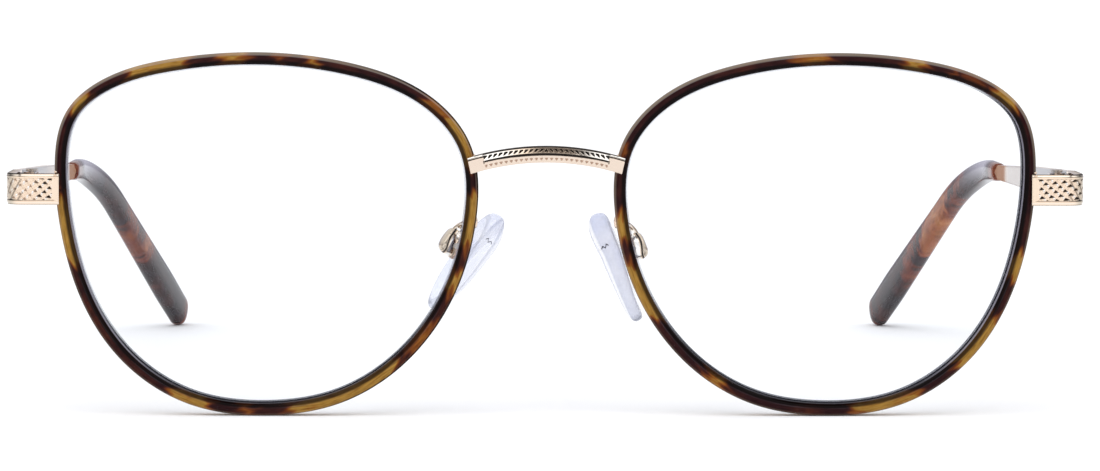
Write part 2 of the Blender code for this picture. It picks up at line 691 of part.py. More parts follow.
def temple_line():
    """The temple's middle line from its hinge end, as runs and points, down past the table."""
    longest = BEND_START + DROP_BEND + HINGE_HEIGHT / math.sin(TIP_DROP)
    run = np.linspace(0.0, longest, PATH_STEPS)
    splay, drop = temple_angles(run)
    rates = np.column_stack([-np.sin(splay) * np.cos(drop), np.cos(splay) * np.cos(drop), -np.sin(drop)])
    steps = (rates[1:] + rates[:-1]) / 2 * np.diff(run)[:, None]
    start = hinge_plan(ARM_FACE + ARM_THICKNESS / 2, HINGE_STOP_GAP / 2)
    first = np.array([start[0] - HINGE_HALF_SPAN, start[1] - HINGE_BEHIND_RIM, 0.0])
    points = first + np.vstack([np.zeros(3), np.cumsum(steps, axis=0)])
    return run, points


def temple_ring(run_at, height, thickness, power):
    """A rounded section square to the temple at a run: a superellipse, round at power 2, boxy above it."""
    run, points = temple_line()
    centre = np.array([np.interp(run_at, run, points[:, i]) for i in range(3)])
    splay, drop = temple_angles(run_at)
    out = np.array([np.cos(splay), np.sin(splay), 0.0])
    up = np.array([-np.sin(splay) * np.sin(drop), np.cos(splay) * np.sin(drop), np.cos(drop)])
    angle = 2 * math.pi * np.arange(SECTION_STEPS) / SECTION_STEPS
    c, s = np.cos(angle), np.sin(angle)
    across = np.sign(c) * np.abs(c) ** (2 / power) * thickness / 2
    tall = np.sign(s) * np.abs(s) ** (2 / power) * height / 2
    return centre + across[:, None] * out + tall[:, None] * up


def tip_end_run():
    """Where the middle of the tip's round end lies, so that its lowest point meets the table."""
    run, points = temple_line()
    height = points[:, 2] + HINGE_HEIGHT
    return float(np.interp(-TIP_END_RADIUS, -height, run))


def make_arm(side):
    """The flat arm, and the round core wire that runs on inside the tip."""
    rings = []
    for run_at in np.linspace(0.0, ARM_LENGTH - SEAT_GAP, ARM_STATIONS):
        height = np.interp(run_at, (0.0, ARM_MID, ARM_LENGTH), (ARM_HEIGHT, ARM_MID_HEIGHT, ARM_END_HEIGHT))
        rings.append(temple_ring(run_at, height, ARM_THICKNESS, ARM_SECTION_POWER))
    core_start = ARM_LENGTH - SEAT_GAP + CORE_RADIUS
    for run_at in np.linspace(core_start, ARM_LENGTH + CORE_LENGTH, CORE_STATIONS):
        rings.append(temple_ring(run_at, 2 * CORE_RADIUS, 2 * CORE_RADIUS, 2.0))
    return loft(side.name + "_temple_arm", rings, side.temple, MATERIALS["rose_gold"])


def make_tip(side):
    """The acetate tip: a bored sleeve that swells over the ear and ends round, on the table."""
    mouth = ARM_LENGTH + CORE_RADIUS + SEAT_GAP
    end = tip_end_run()
    bore = 2 * (CORE_RADIUS + SEAT_GAP)
    rings = [
        temple_ring(run_at, bore, bore, 2.0)
        for run_at in np.linspace(ARM_LENGTH + CORE_LENGTH + SEAT_GAP, mouth, CORE_STATIONS)
    ]
    table = np.array([*TIP_SHARES, (1.0, TIP_END_HEIGHT / TIP_HEIGHT, 1.0)])
    for run_at in np.linspace(mouth, end, TIP_STATIONS):
        share = (run_at - mouth) / (end - mouth)
        height = TIP_HEIGHT * np.interp(share, table[:, 0], table[:, 1])
        thickness = TIP_THICKNESS * np.interp(share, table[:, 0], table[:, 2])
        rings.append(temple_ring(run_at, height, thickness, TIP_SECTION_POWER))
    for angle in TIP_CAP_ANGLES:
        shrink = math.cos(angle)
        rings.append(
            temple_ring(
                end + TIP_END_RADIUS * math.sin(angle), TIP_END_HEIGHT * shrink, TIP_THICKNESS * shrink,
                TIP_SECTION_POWER,
            )
        )
    return loft(side.name + "_temple_tip", rings, side.temple, MATERIALS["tortoise"])


def pad_axes(lean, splay):
    """A pad's own axes: across from front to back, up its length, and out of its face to the nose."""
    inwards = Vector((-math.cos(lean), 0.0, -math.sin(lean)))
    back = Vector((0.0, 1.0, 0.0))
    up = Vector((-math.sin(lean), 0.0, math.cos(lean)))
    face = math.cos(splay) * inwards + math.sin(splay) * back
    across = math.cos(splay) * back - math.sin(splay) * inwards
    return Matrix((across, up, face)).transposed()


def make_pad_box(side):
    """A small cup with its mouth to the nose, bored across for the pad's screw."""
    h, w = BOX_HEIGHT / 2, BOX_WIDTH / 2
    name = side.name + "_pad_box"
    box = block(name, (-w, -h, -BOX_OUTER), (w, h, BOX_MOUTH), side.box, MATERIALS["rose_gold"])
    bevel(box, BOX_ROUNDING, 3)
    slot_half = INSERT_THICKNESS / 2 + SEAT_GAP
    slot = block(
        name + "_slot", (-slot_half, -BOX_SLOT_HEIGHT / 2, BOX_WALL - BOX_OUTER),
        (slot_half, BOX_SLOT_HEIGHT / 2, BOX_MOUTH + OVERRUN), side.box,
    )
    boolean(box, slot, "DIFFERENCE")
    reach = w + OVERRUN
    bore_radius = PAD_SHANK_RADIUS + RUNNING_GAP
    bore = rod(name + "_bore", bore_radius, (-reach, 0.0, 0.0), (reach, 0.0, 0.0), side.box)
    boolean(box, bore, "DIFFERENCE")
    slotted_screw(
        side.name + "_pad_screw", PAD_SHANK_RADIUS, PAD_HEAD_RADIUS, BOX_WIDTH + RUNNING_GAP,
        (w + RUNNING_GAP, 0.0, 0.0), (1.0, 0.0, 0.0), side.box,
    )


def make_pad_arm(side):
    """A wire that leaves the back of the eyewire, turns outwards behind the lens and widens to the box."""
    outline = rim_outline()
    inner_side = outline[outline[:, 0] < EYE_CENTRE_X]
    order = np.argsort(inner_side[:, 1])
    rim_edge = np.interp(PAD_WIRE_HEIGHT, inner_side[order, 1], inner_side[order, 0])
    start_x = rim_edge + EYEWIRE_INSET + EYEWIRE_THICKNESS / 2
    start_y = dish(start_x, PAD_WIRE_HEIGHT) + RIM_DEPTH + EYEWIRE_PAST_RIM + SEAT_GAP
    axes = side.box.matrix_basis.to_3x3()
    up = np.array(axes.col[1])
    end = np.array(side.box.matrix_basis @ Vector((0.0, BOX_HEIGHT / 2 + SEAT_GAP, -BOX_OUTER / 3)))
    span = PAD_AXIS_BEHIND_RIM - start_y
    start = np.array((start_x, start_y, PAD_WIRE_HEIGHT))
    leave = span * np.array((*PAD_WIRE_LEAVE_SHARES, 0.0))
    handles = (start, start + leave, end + up * span * PAD_WIRE_ARRIVE_SHARE, end)
    t = np.linspace(0.0, 1.0, PAD_WIRE_STEPS + 1)[:, None]
    weights = ((1 - t) ** 3, 3 * t * (1 - t) ** 2, 3 * t**2 * (1 - t), t**3)
    points = sum(weight * handle for weight, handle in zip(weights, handles))
    curve = bpy.data.curves.new(side.name + "_pad_arm", "CURVE")
    curve.dimensions = "3D"
    curve.bevel_depth = PAD_WIRE_RADIUS
    curve.bevel_resolution = 2
    curve.use_fill_caps = True
    spline = curve.splines.new("POLY")
    spline.points.add(len(points) - 1)
    for target, point, share in zip(spline.points, points, t[:, 0]):
        target.co = (*point, 1.0)
        target.radius = 1.0 + (PAD_WIRE_BOX_RADIUS / PAD_WIRE_RADIUS - 1.0) * share**2
    wire = bpy.data.objects.new(side.name + "_pad_arm_wire", curve)
    CUTTERS.objects.link(wire)
    name = side.name + "_pad_arm"
    return new_object(name, mesh_of_curve(wire, name), FRONT, MATERIALS["rose_gold"])


def pad_ring(share, height, below_axis):
    """One ring of the pad's egg outline, at a height above its back: narrower at the top."""
    angle = 2 * math.pi * np.arange(PAD_STEPS) / PAD_STEPS
    across = share * PAD_WIDTH / 2 * np.sin(angle) * (1 - PAD_EGG_SHARE * np.cos(angle))
    along = share * PAD_LENGTH / 2 * np.cos(angle) - below_axis
    return np.column_stack([across, along, np.full(PAD_STEPS, height)])


def make_nose_pad(side):
    """The silicone pad, domed to the nose, with a pocket in its back for the insert's base."""
    below = PAD_BELOW_AXIS[side.name]
    rings = [pad_ring(share, PAD_BACK + PAD_THICKNESS * rise, below) for share, rise in PAD_RING_SHARES]
    pad = loft(side.name + "_nose_pad", rings, side.pad, MATERIALS["silicone"])
    w = INSERT_BASE_WIDTH / 2 + SEAT_GAP
    h = INSERT_BASE_HEIGHT / 2 + SEAT_GAP
    pocket = block(
        side.name + "_nose_pad_pocket", (-w, -h, PAD_BACK - OVERRUN), (w, h, PAD_BACK + PAD_POCKET_DEPTH),
        side.pad,
    )
    boolean(pad, pocket, "DIFFERENCE")


def make_pad_insert(side):
    """The pad's metal core: an eye on the screw, a stem, and a base that lies in the pad's pocket."""
    name = side.name + "_pad_insert"
    t = INSERT_THICKNESS / 2
    eye = rod(name, INSERT_EYE_RADIUS, (-t, 0.0, 0.0), (t, 0.0, 0.0), side.pad, MATERIALS["steel"])
    top = PAD_BACK + PAD_POCKET_DEPTH - SEAT_GAP
    stem = block(
        name + "_stem", (-t, -INSERT_STEM_HEIGHT / 2, 0.0),
        (t, INSERT_STEM_HEIGHT / 2, top - INSERT_BASE_THICKNESS / 2), side.pad,
    )
    base = block(
        name + "_base", (-INSERT_BASE_WIDTH / 2, -INSERT_BASE_HEIGHT / 2, top - INSERT_BASE_THICKNESS),
        (INSERT_BASE_WIDTH / 2, INSERT_BASE_HEIGHT / 2, top), side.pad,
    )
    reach = t + OVERRUN
    bore_radius = PAD_SHANK_RADIUS + RUNNING_GAP
    bore = rod(name + "_bore", bore_radius, (-reach, 0.0, 0.0), (reach, 0.0, 0.0), side.pad)
    boolean(eye, stem, "UNION")
    boolean(eye, base, "UNION")
    boolean(eye, bore, "DIFFERENCE")


class Side:
    """One side's name and the carriers of its pieces: its half of the front, its temple and its pad."""

    def __init__(self, name):
        self.name = name
        hinge_place = (HINGE_HALF_SPAN, HINGE_BEHIND_RIM, HINGE_HEIGHT)
        pad_place = (PAD_AXIS_OUT[name], PAD_AXIS_BEHIND_RIM, PAD_AXIS_HEIGHT[name])
        axes = pad_axes(PAD_LEAN[name], PAD_SPLAY[name])
        self.hinge = new_empty(name + "_hinge", hinge_place, FRONT)
        self.temple = new_empty(name + "_temple", hinge_place, FRONT)
        self.box = new_empty(name + "_pad_frame", pad_place, FRONT, axes)
        self.pad = new_empty(name + "_pad_rock", pad_place, FRONT, axes)


def make_side(name):
    """All the pieces of one side, placed as on the left."""
    side = Side(name)
    make_rim(side)
    make_eyewire(side)
    make_lens(side)
    make_lug(side)
    make_locks(side)
    make_hinge(side)
    make_arm(side)
    make_tip(side)
    make_pad_box(side)
    make_pad_arm(side)
    make_nose_pad(side)
    make_pad_insert(side)


def mirror_to_right():
    """Mirrors the right side's objects, empties and cutters in the plane between the eyes."""
    for obj in bpy.data.objects:
        if not obj.name.startswith("right_"):
            continue
        obj.matrix_basis = FLIP_X @ obj.matrix_basis @ FLIP_X
        if obj.data:
            obj.data.transform(FLIP_X)
            if obj.data.polygons:
                obj.data.flip_normals()


def centre_on_origin():
    """Slides the whole model so that the origin is under the middle of its box from front to back."""
    bpy.context.view_layer.update()
    graph = bpy.context.evaluated_depsgraph_get()
    depths = []
    for obj in PARTS.objects:
        if obj.type != "MESH":
            continue
        shape = obj.evaluated_get(graph)
        depths += [(shape.matrix_world @ Vector(corner)).y for corner in shape.bound_box]
    ROOT.location.y = -(min(depths) + max(depths)) / 2
    bpy.context.view_layer.update()


def report_joints():
    """Prints where the front's datum lies, and each joint's place and x axis, for the record."""
    print("FRONT", list(FRONT.matrix_world.translation))
    for name in ("left_temple", "right_temple", "left_pad_rock", "right_pad_rock"):
        world = bpy.data.objects[name].matrix_world
        print("JOINT", name, list(world.translation), list(world.col[0][:3]))


clear_scene()
PARTS = new_collection("spectacles")
CUTTERS = new_collection("cutters")
MATERIALS = {name: new_material(name, *finish) for name, finish in FINISHES.items()}
ROOT = new_empty("spectacles_origin", (0.0, 0.0, 0.0))
FRONT = new_empty("front", (0.0, 0.0, 0.0), ROOT)

make_side("left")
make_side("right")
mirror_to_right()
make_bridge()
centre_on_origin()
report_joints()
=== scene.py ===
"""Looks of clear-lens spectacles: tortoise rims on a rose gold front, folding temples, soft nose pads.

The axes are the CAD part's own: +X is the wearer's left, +Y runs back along the temples and +Z is up.
Lengths are in millimetres until skin() turns them into metres. Each class holds the sizes of one
sub-assembly, works out its surfaces with numpy and dresses them. A finer piece stands for its CAD node,
and the other nodes only get a finish.
"""

from __future__ import annotations

import logging
import math
from dataclasses import dataclass
from enum import Enum
from typing import Any

import bpy
import numpy as np
from mathutils import Matrix
from numpy.typing import NDArray


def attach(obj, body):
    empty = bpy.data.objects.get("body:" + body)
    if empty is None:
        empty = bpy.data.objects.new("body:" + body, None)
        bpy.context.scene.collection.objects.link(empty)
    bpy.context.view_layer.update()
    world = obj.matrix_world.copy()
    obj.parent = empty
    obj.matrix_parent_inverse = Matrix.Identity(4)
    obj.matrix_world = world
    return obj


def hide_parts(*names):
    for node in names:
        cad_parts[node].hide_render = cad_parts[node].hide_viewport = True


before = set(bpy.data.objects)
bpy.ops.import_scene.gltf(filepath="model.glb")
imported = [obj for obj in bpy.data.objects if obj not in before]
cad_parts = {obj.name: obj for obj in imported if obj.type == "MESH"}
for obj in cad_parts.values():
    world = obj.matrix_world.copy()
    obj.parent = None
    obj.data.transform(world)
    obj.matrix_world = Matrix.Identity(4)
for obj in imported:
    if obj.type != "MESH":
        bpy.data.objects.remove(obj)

Array = NDArray[np.float64]
Colour = tuple[float, float, float]
Inputs = dict[Any, Any]
LOG = logging.getLogger("spectacles")
MM = 0.001
FRONT_Y = -69.279


class Side(Enum):
    """The wearer's left or right, with the sign of its x."""

    LEFT = ("left", 1.0)
    RIGHT = ("right", -1.0)

    @property
    def word(self) -> str:
        """The side's name, which starts the names of its pieces."""
        return self.value[0]

    @property
    def sign(self) -> float:
        """+1 on the wearer's left and -1 on the right."""
        return self.value[1]

    def mirrored(self, points: Array) -> Array:
        """Points of the wearer's left, moved to this side, or back."""
        return points * (self.sign, 1.0, 1.0)


class Tone(Enum):
    """A tone of the tortoise pattern, as its share of the way from the darkest to the lightest."""

    AMBER = 1.0
    HONEY = 0.82
    ORANGE = 0.62
    RUST = 0.42


# ---------------------------------------------------------------- surfaces


def smoothstep(value: Array | float, low: float, high: float) -> Array:
    """Rises from 0 at low to 1 at high as 3t^2 - 2t^3, where t is the share of the way."""
    t = np.clip((np.asarray(value, float) - low) / (high - low), 0.0, 1.0)
    return t * t * (3.0 - 2.0 * t)


def fade(value: Array | float, low: float, high: float) -> Array:
    """Falls from 1 at low to 0 at high: 1 - smoothstep."""
    return 1.0 - smoothstep(value, low, high)


def bump(value: Array, centre: float, half: float, soft: float) -> Array:
    """1 within half of centre, falling to 0 over soft on each side."""
    return fade(np.abs(value - centre), half - soft / 2, half + soft / 2)


def superellipse(count: int, power: float) -> Array:
    """Unit points (cos, sin) round a superellipse: each is sign(c) |c|^(2/power).

    Args:
        count: How many points.
        power: 2 is round, and a higher power is boxier.

    Returns:
        The points, as (count, 2).
    """
    angle = 2 * math.pi * np.arange(count) / count
    wave = np.column_stack([np.cos(angle), np.sin(angle)])
    return np.sign(wave) * np.abs(wave) ** (2.0 / power)


def resampled(keys: Array, count: int) -> Array:
    """Columns of key values joined by straight lines, at count even steps, as (columns, count)."""
    at = np.linspace(0, len(keys) - 1, count)
    return np.array([np.interp(at, np.arange(len(keys)), column) for column in keys.T])


def running(points: Array) -> Array:
    """The length along a line of points, from 0 at the first."""
    return np.concatenate([[0.0], np.cumsum(np.linalg.norm(np.diff(points, axis=0), axis=1))])


def at_runs(at: Array, run: Array, points: Array) -> Array:
    """The points of a line at the lengths at, where run is the length to each of its points."""
    return np.column_stack([np.interp(at, run, column) for column in points.T])


def right_of(along: Array) -> Array:
    """Unit normals to the right of flat directions."""
    along = along / np.linalg.norm(along, axis=1)[:, None]
    return np.column_stack([along[:, 1], -along[:, 0]])


def signed_volume(points: Array, faces: Array) -> float:
    """Six times the volume inside the quads: the sum of a.(b x c) over both halves of each quad."""
    a, b, c, d = (points[faces[:, k]] for k in range(4))
    halves = np.einsum("ij,ij->i", a, np.cross(b, c)) + np.einsum("ij,ij->i", a, np.cross(c, d))
    return float(halves.sum())


def skin(
    name: str, rings: Array, looped: bool = False, marks: dict[str, Array] | None = None, crease: float = 38.0
) -> bpy.types.Object:
    """Joins rings of points into one closed skin whose faces point outwards.

    Point j of ring i is rings[i, j]. It meets point j of the next ring, and the last point of a ring meets
    its first. Looped rings close on the first ring; otherwise each end closes on its ring's mean.

    Args:
        name: The object's name.
        rings: The points, as (rings, points, 3), in millimetres.
        looped: Whether the last ring meets the first.
        marks: Named values of each point, (rings, points), kept as attributes for the finish.
        crease: Edges sharper than this many degrees stay crisp.

    Returns:
        The object, which sits at the origin.
    """
    n, m = rings.shape[:2]
    i = np.arange(n if looped else n - 1)[:, None]
    j = np.arange(m)[None, :]
    after, beside = (i + 1) % n, (j + 1) % m
    quads = np.stack([i * m + j, after * m + j, after * m + beside, i * m + beside], axis=-1).reshape(-1, 4)
    points = rings.reshape(-1, 3)
    values = {key: np.broadcast_to(mark, (n, m)).reshape(-1) for key, mark in (marks or {}).items()}
    fans = np.zeros((0, 3), int)
    if not looped:
        points = np.vstack([points, rings[0].mean(0), rings[-1].mean(0)])
        this, that, last = j[0], beside[0], (n - 1) * m
        start = np.column_stack([np.full(m, n * m), this, that])
        end = np.column_stack([np.full(m, n * m + 1), last + that, last + this])
        fans = np.vstack([start, end])
        values = {key: np.append(mark, [mark[:m].mean(), mark[-m:].mean()]) for key, mark in values.items()}
    if signed_volume(points - points.mean(0), np.vstack([quads, fans[:, [0, 1, 2, 2]]])) < 0:
        quads, fans = quads[:, ::-1], fans[:, ::-1]
    mesh = bpy.data.meshes.new(name)
    mesh.from_pydata(points * MM, [], quads.tolist() + fans.tolist())
    mesh.polygons.foreach_set("use_smooth", np.ones(len(mesh.polygons), bool))
    for key, mark in values.items():
        mesh.attributes.new(key, "FLOAT", "POINT").data.foreach_set("value", mark.astype(np.float32))
    mesh.set_sharp_from_angle(angle=math.radians(crease))
    mesh.update()
    made = bpy.data.objects.new(name, mesh)
    bpy.context.scene.collection.objects.link(made)
    return made


def bead(name: str, centre: Array, radii: tuple[float, float, float], steps: int = 20) -> bpy.types.Object:
    """A round bead: centre + radii (sin a cos b, sin a sin b, cos a), from pole to pole."""
    near_pole = 0.06
    polar = np.linspace(near_pole, math.pi - near_pole, steps)[:, None]
    turn = 2 * math.pi * np.arange(steps) / steps
    ball = np.stack(
        [np.sin(polar) * np.cos(turn), np.sin(polar) * np.sin(turn), np.cos(polar) + 0 * turn], axis=-1
    )
    return skin(name, centre + ball * radii)


# ---------------------------------------------------------------- shader maths


@dataclass(frozen=True)
class Signal:
    """One output socket. Sums and products of signals and numbers add their Math nodes."""

    graph: Graph
    socket: bpy.types.NodeSocket

    def __add__(self, other: Signal | float) -> Signal:
        """self + other."""
        return self.graph.math("ADD", self, other)

    def __sub__(self, other: Signal | float) -> Signal:
        """self - other."""
        return self.graph.math("SUBTRACT", self, other)

    def __rsub__(self, other: float) -> Signal:
        """other - self."""
        return self.graph.math("SUBTRACT", other, self)

    def __mul__(self, other: Signal | float) -> Signal:
        """self * other."""
        return self.graph.math("MULTIPLY", self, other)

    __radd__ = __add__
    __rmul__ = __mul__

    def size(self) -> Signal:
        """The value without its sign."""
        return self.graph.math("ABSOLUTE", self)

    def clamped(self) -> Signal:
        """The value, held between 0 and 1."""
        return self.graph.value("ShaderNodeClamp", None, {"Value": self})

    def step(self, low: float, high: float) -> Signal:
        """Rises smoothly from 0 at low to 1 at high, or falls where high is below low."""
        if high < low:
            return 1.0 - self.step(high, low)
        inputs = {"Value": self, "From Min": low, "From Max": high}
        return self.graph.value("ShaderNodeMapRange", {"interpolation_type": "SMOOTHSTEP"}, inputs)


class Graph:
    """The nodes of one material or world."""

    def __init__(self, owner: bpy.types.Material | bpy.types.World) -> None:
        """Starts the owner with an empty tree."""
        owner.use_nodes = True
        self.owner = owner
        self.tree = owner.node_tree
        self.tree.nodes.clear()

    def node(self, kind: str, settings: Inputs | None = None, inputs: Inputs | None = None) -> bpy.types.Node:
        """Adds a node.

        Args:
            kind: The node's type.
            settings: Its own settings, set first; stops are a ramp's (place, colour) pairs.
            inputs: The value or signal of each socket, by name or number.

        Returns:
            The node.
        """
        made = self.tree.nodes.new(kind)
        for key, value in (settings or {}).items():
            if key == "stops":
                self._set_stops(made.color_ramp, value)
            else:
                setattr(made, key, value)
        for key, value in (inputs or {}).items():
            target = made.inputs[key]
            if isinstance(value, Signal):
                self.tree.links.new(value.socket, target)
            elif isinstance(value, tuple) and len(value) == 3 and target.type == "RGBA":
                target.default_value = (*value, 1.0)
            else:
                target.default_value = value
        return made

    @staticmethod
    def _set_stops(ramp: bpy.types.ColorRamp, stops: list[tuple[float, Colour]]) -> None:
        """Gives a colour ramp its stops."""
        while len(ramp.elements) < len(stops):
            ramp.elements.new(1.0)
        for element, (place, colour) in zip(ramp.elements, stops):
            element.position = place
            element.color = (*colour, 1.0)

    def value(
        self, kind: str, settings: Inputs | None = None, inputs: Inputs | None = None, output: Any = 0
    ) -> Signal:
        """Adds a node, and gives one of its outputs as a signal."""
        return Signal(self, self.node(kind, settings, inputs).outputs[output])

    def math(self, operation: str, *values: Signal | float) -> Signal:
        """Adds a Math node on up to three values."""
        return self.value("ShaderNodeMath", {"operation": operation}, dict(enumerate(values)))

    def mark(self, name: str) -> Signal:
        """A piece's own attribute."""
        return self.value("ShaderNodeAttribute", {"attribute_name": name}, output="Fac")

    def place(self, scale: Colour = (1.0, 1.0, 1.0)) -> Signal:
        """Object coordinates in metres, scaled."""
        at = self.value("ShaderNodeTexCoord", output="Object")
        return self.value("ShaderNodeMapping", None, {"Vector": at, "Scale": scale})

    def streaks(self, along: float, across: float, detail: float, roughness: float) -> Signal:
        """Noise stretched along a piece, with so many features to its marks run and across."""
        inputs = {0: self.mark("run") * along, 1: self.mark("across") * across}
        return self.noise(self.value("ShaderNodeCombineXYZ", None, inputs), 1.0, detail, roughness)

    def noise(self, at: Signal, scale: float, detail: float = 3.0, roughness: float = 0.5) -> Signal:
        """Smooth noise from 0 to 1, with scale features to the metre."""
        inputs = {"Vector": at, "Scale": scale, "Detail": detail, "Roughness": roughness}
        return self.value("ShaderNodeTexNoise", None, inputs, "Fac")

    def blend(self, share: Signal | float, low: Any, high: Any, how: str = "MIX") -> Signal:
        """Mixes two colours: low where share is 0 and high where it is 1."""
        inputs = {0: share, 6: low, 7: high}
        return self.value("ShaderNodeMix", {"data_type": "RGBA", "blend_type": how}, inputs, 2)

    def relief(self, height: Signal, depth: float, strength: float = 1.0) -> Signal:
        """A Bump node's normal from a height of 0 to 1 that stands for depth millimetres."""
        inputs = {"Height": height, "Distance": depth * MM, "Strength": strength}
        return self.value("ShaderNodeBump", None, inputs, "Normal")

    def principled(self, colour: Any, rough: Any, others: Inputs | None = None) -> Signal:
        """A Principled shader of a colour and a roughness, with any other inputs."""
        inputs = {"Base Color": colour, "Roughness": rough, **(others or {})}
        return self.value("ShaderNodeBsdfPrincipled", None, inputs)

    def mixed(self, share: Signal, low: Signal, high: Signal) -> Any:
        """The material whose shader is low where share is 0 and high where it is 1."""
        return self.finish(self.value("ShaderNodeMixShader", None, {0: share, 1: low, 2: high}))

    def finish(self, shader: Signal) -> Any:
        """Links the shader to the output, and gives the finished material or world."""
        is_world = isinstance(self.owner, bpy.types.World)
        self.node("ShaderNodeOutputWorld" if is_world else "ShaderNodeOutputMaterial", None, {0: shader})
        return self.owner


# ---------------------------------------------------------------- finishes


@dataclass(frozen=True)
class RoseGold:
    """Polished rose gold plating, finely satined, with painted shade in the pits of its engraving."""

    name: str = "rose_gold_plating"
    plate: Colour = (0.90, 0.73, 0.57)
    warm: Colour = (0.85, 0.64, 0.48)
    # The next six colours are painted light: a pinker, darker reflection, a greyer reflection, a white
    # highlight, brown and lilac grey reflections, and near black shade.
    blush: Colour = (0.80, 0.665, 0.555)
    moss: Colour = (0.40, 0.37, 0.30)
    shine: Colour = (1.0, 0.985, 0.955)
    rust: Colour = (0.40, 0.215, 0.135)
    cool: Colour = (0.58, 0.58, 0.605)
    pit: Colour = (0.013, 0.009, 0.007)
    roughness: float = 0.12
    brushed: float = 0.5

    def material(self) -> bpy.types.Material:
        """Colour wanders a little with slow noise, and fine noise varies the roughness and the relief.

        The marks paint light into the colour: a pinker, darker plate is a painted reflection below the
        bridge's fold, a greyer one a painted grey reflection where faces turn away, white a painted
        highlight on bright edges, brown and lilac grey are painted reflections, and near black is painted
        shade in the engraving's pits, along dark edges and lines and inside the pad boxes. matt is where
        the metal is made dull and non-metal, under the painted brown and lilac grey reflections, so that
        their colour shows.
        """
        g = Graph(bpy.data.materials.new(self.name))
        at = g.place()
        slow = g.noise(at, 220.0, 2.0)
        fine = g.noise(at, 5200.0, 4.0, 0.65)
        pit = g.mark("pit")
        colour = g.blend(slow.step(0.35, 0.75) * 0.4, self.plate, self.warm)
        # Painted reflections and highlights, then painted shade, laid over the plate.
        for name in ("blush", "moss", "shine", "rust", "cool"):
            colour = g.blend(g.mark(name), colour, getattr(self, name))
        colour = g.blend(pit, colour, self.pit)
        rough = self.roughness + (fine - 0.5) * 0.08 + pit * 0.35
        normal = g.relief(fine, 0.003, 0.5)
        metallic = 1.0 - pit * 0.6
        metal = g.principled(colour, rough, {"Metallic": metallic, "Normal": normal, "Specular IOR Level": 0.2})
        dull = g.principled(colour, rough + self.brushed, {"Specular IOR Level": 0.0})
        return g.mixed(g.mark("matt") * 0.9, metal, dull)


@dataclass(frozen=True)
class Tortoise:
    """Gloss acetate in tortoise: amber clouds with orange borders in a dark reddish brown."""

    name: str = "tortoise_acetate"
    tones: tuple[tuple[float, Colour], ...] = (
        (0.00, (0.018, 0.0035, 0.0045)), (0.20, (0.036, 0.008, 0.006)), (0.44, (0.10, 0.023, 0.006)),
        (0.64, (0.17, 0.049, 0.008)), (0.83, (0.22, 0.078, 0.011)), (1.00, (0.295, 0.157, 0.029)),
    )  # fmt: skip
    # Painted light: edge darkens the shoulders as painted shade, pale is a painted highlight and reflection,
    # sheen a painted highlight on the outer shoulder, and light and shade lighten and darken streaks, partly
    # grain and partly painted highlight streaks.
    edge: Colour = (0.13, 0.12, 0.13)
    pale: Colour = (0.42, 0.40, 0.48)
    sheen: Colour = (0.42, 0.35, 0.27)
    light: Colour = (1.22, 1.24, 1.30)
    shade: Colour = (0.74, 0.68, 0.62)
    roughness: float = 0.12
    gloss: float = 0.14

    def material(self) -> bpy.types.Material:
        """The mark tone says where the clouds lie, and noise wavers their borders and their depth.

        Streaks run along the piece, lighter and darker ones, partly the acetate's grain and partly painted
        highlight streaks. The mark edge paints shade on the shoulders, sheen paints a highlight on the
        outer one, and pale paints fine highlight lines and a reflection on the wall that faces the lens.
        """
        g = Graph(bpy.data.materials.new(self.name))
        at = g.place()
        cloud = g.noise(at, 520.0, 4.0, 0.6)
        grain = g.noise(at, 1700.0, 3.0, 0.55)
        drift = g.noise(at, 210.0, 3.0, 0.6).step(0.42, 0.72)
        streak = g.streaks(60.0, 1.6, 3.0, 0.6)
        tone = g.mark("tone") * (1.0 - (streak - 0.5) * 0.75) + (cloud - 0.5) * 0.30 + drift * 0.22
        base = g.value("ShaderNodeValToRGB", {"stops": self.tones}, {0: tone}, "Color")
        fine = g.streaks(90.0, 4.5, 2.0, 0.5)
        # Lighter and darker streaks: partly grain, partly painted highlight streaks.
        base = g.blend(fine.step(0.50, 0.68), base, self.light, "MULTIPLY")
        base = g.blend(fine.step(0.50, 0.34), base, self.shade, "MULTIPLY")
        # Painted shade on the shoulders, then a painted sheen and painted highlights and reflection.
        base = g.blend(g.mark("edge"), base, self.edge, "MULTIPLY")
        base = g.blend(g.mark("sheen") * 0.40, base, self.sheen)
        base = g.blend(g.mark("pale"), base, self.pale)
        rough = self.roughness + (grain - 0.5) * 0.08
        normal = g.relief(g.noise(at, 900.0, 2.0), 0.008, 0.4)
        others = {"Normal": normal, "IOR": 1.36, "Specular IOR Level": self.gloss}
        return g.finish(g.principled(base, rough, others))


TIP_TONES: tuple[tuple[float, Colour], ...] = (
    (0.00, (0.025, 0.019, 0.023)), (0.20, (0.050, 0.023, 0.023)), (0.40, (0.13, 0.036, 0.025)),
    (0.58, (0.25, 0.075, 0.032)), (0.78, (0.33, 0.125, 0.045)), (1.00, (0.36, 0.18, 0.08)),
)  # fmt: skip


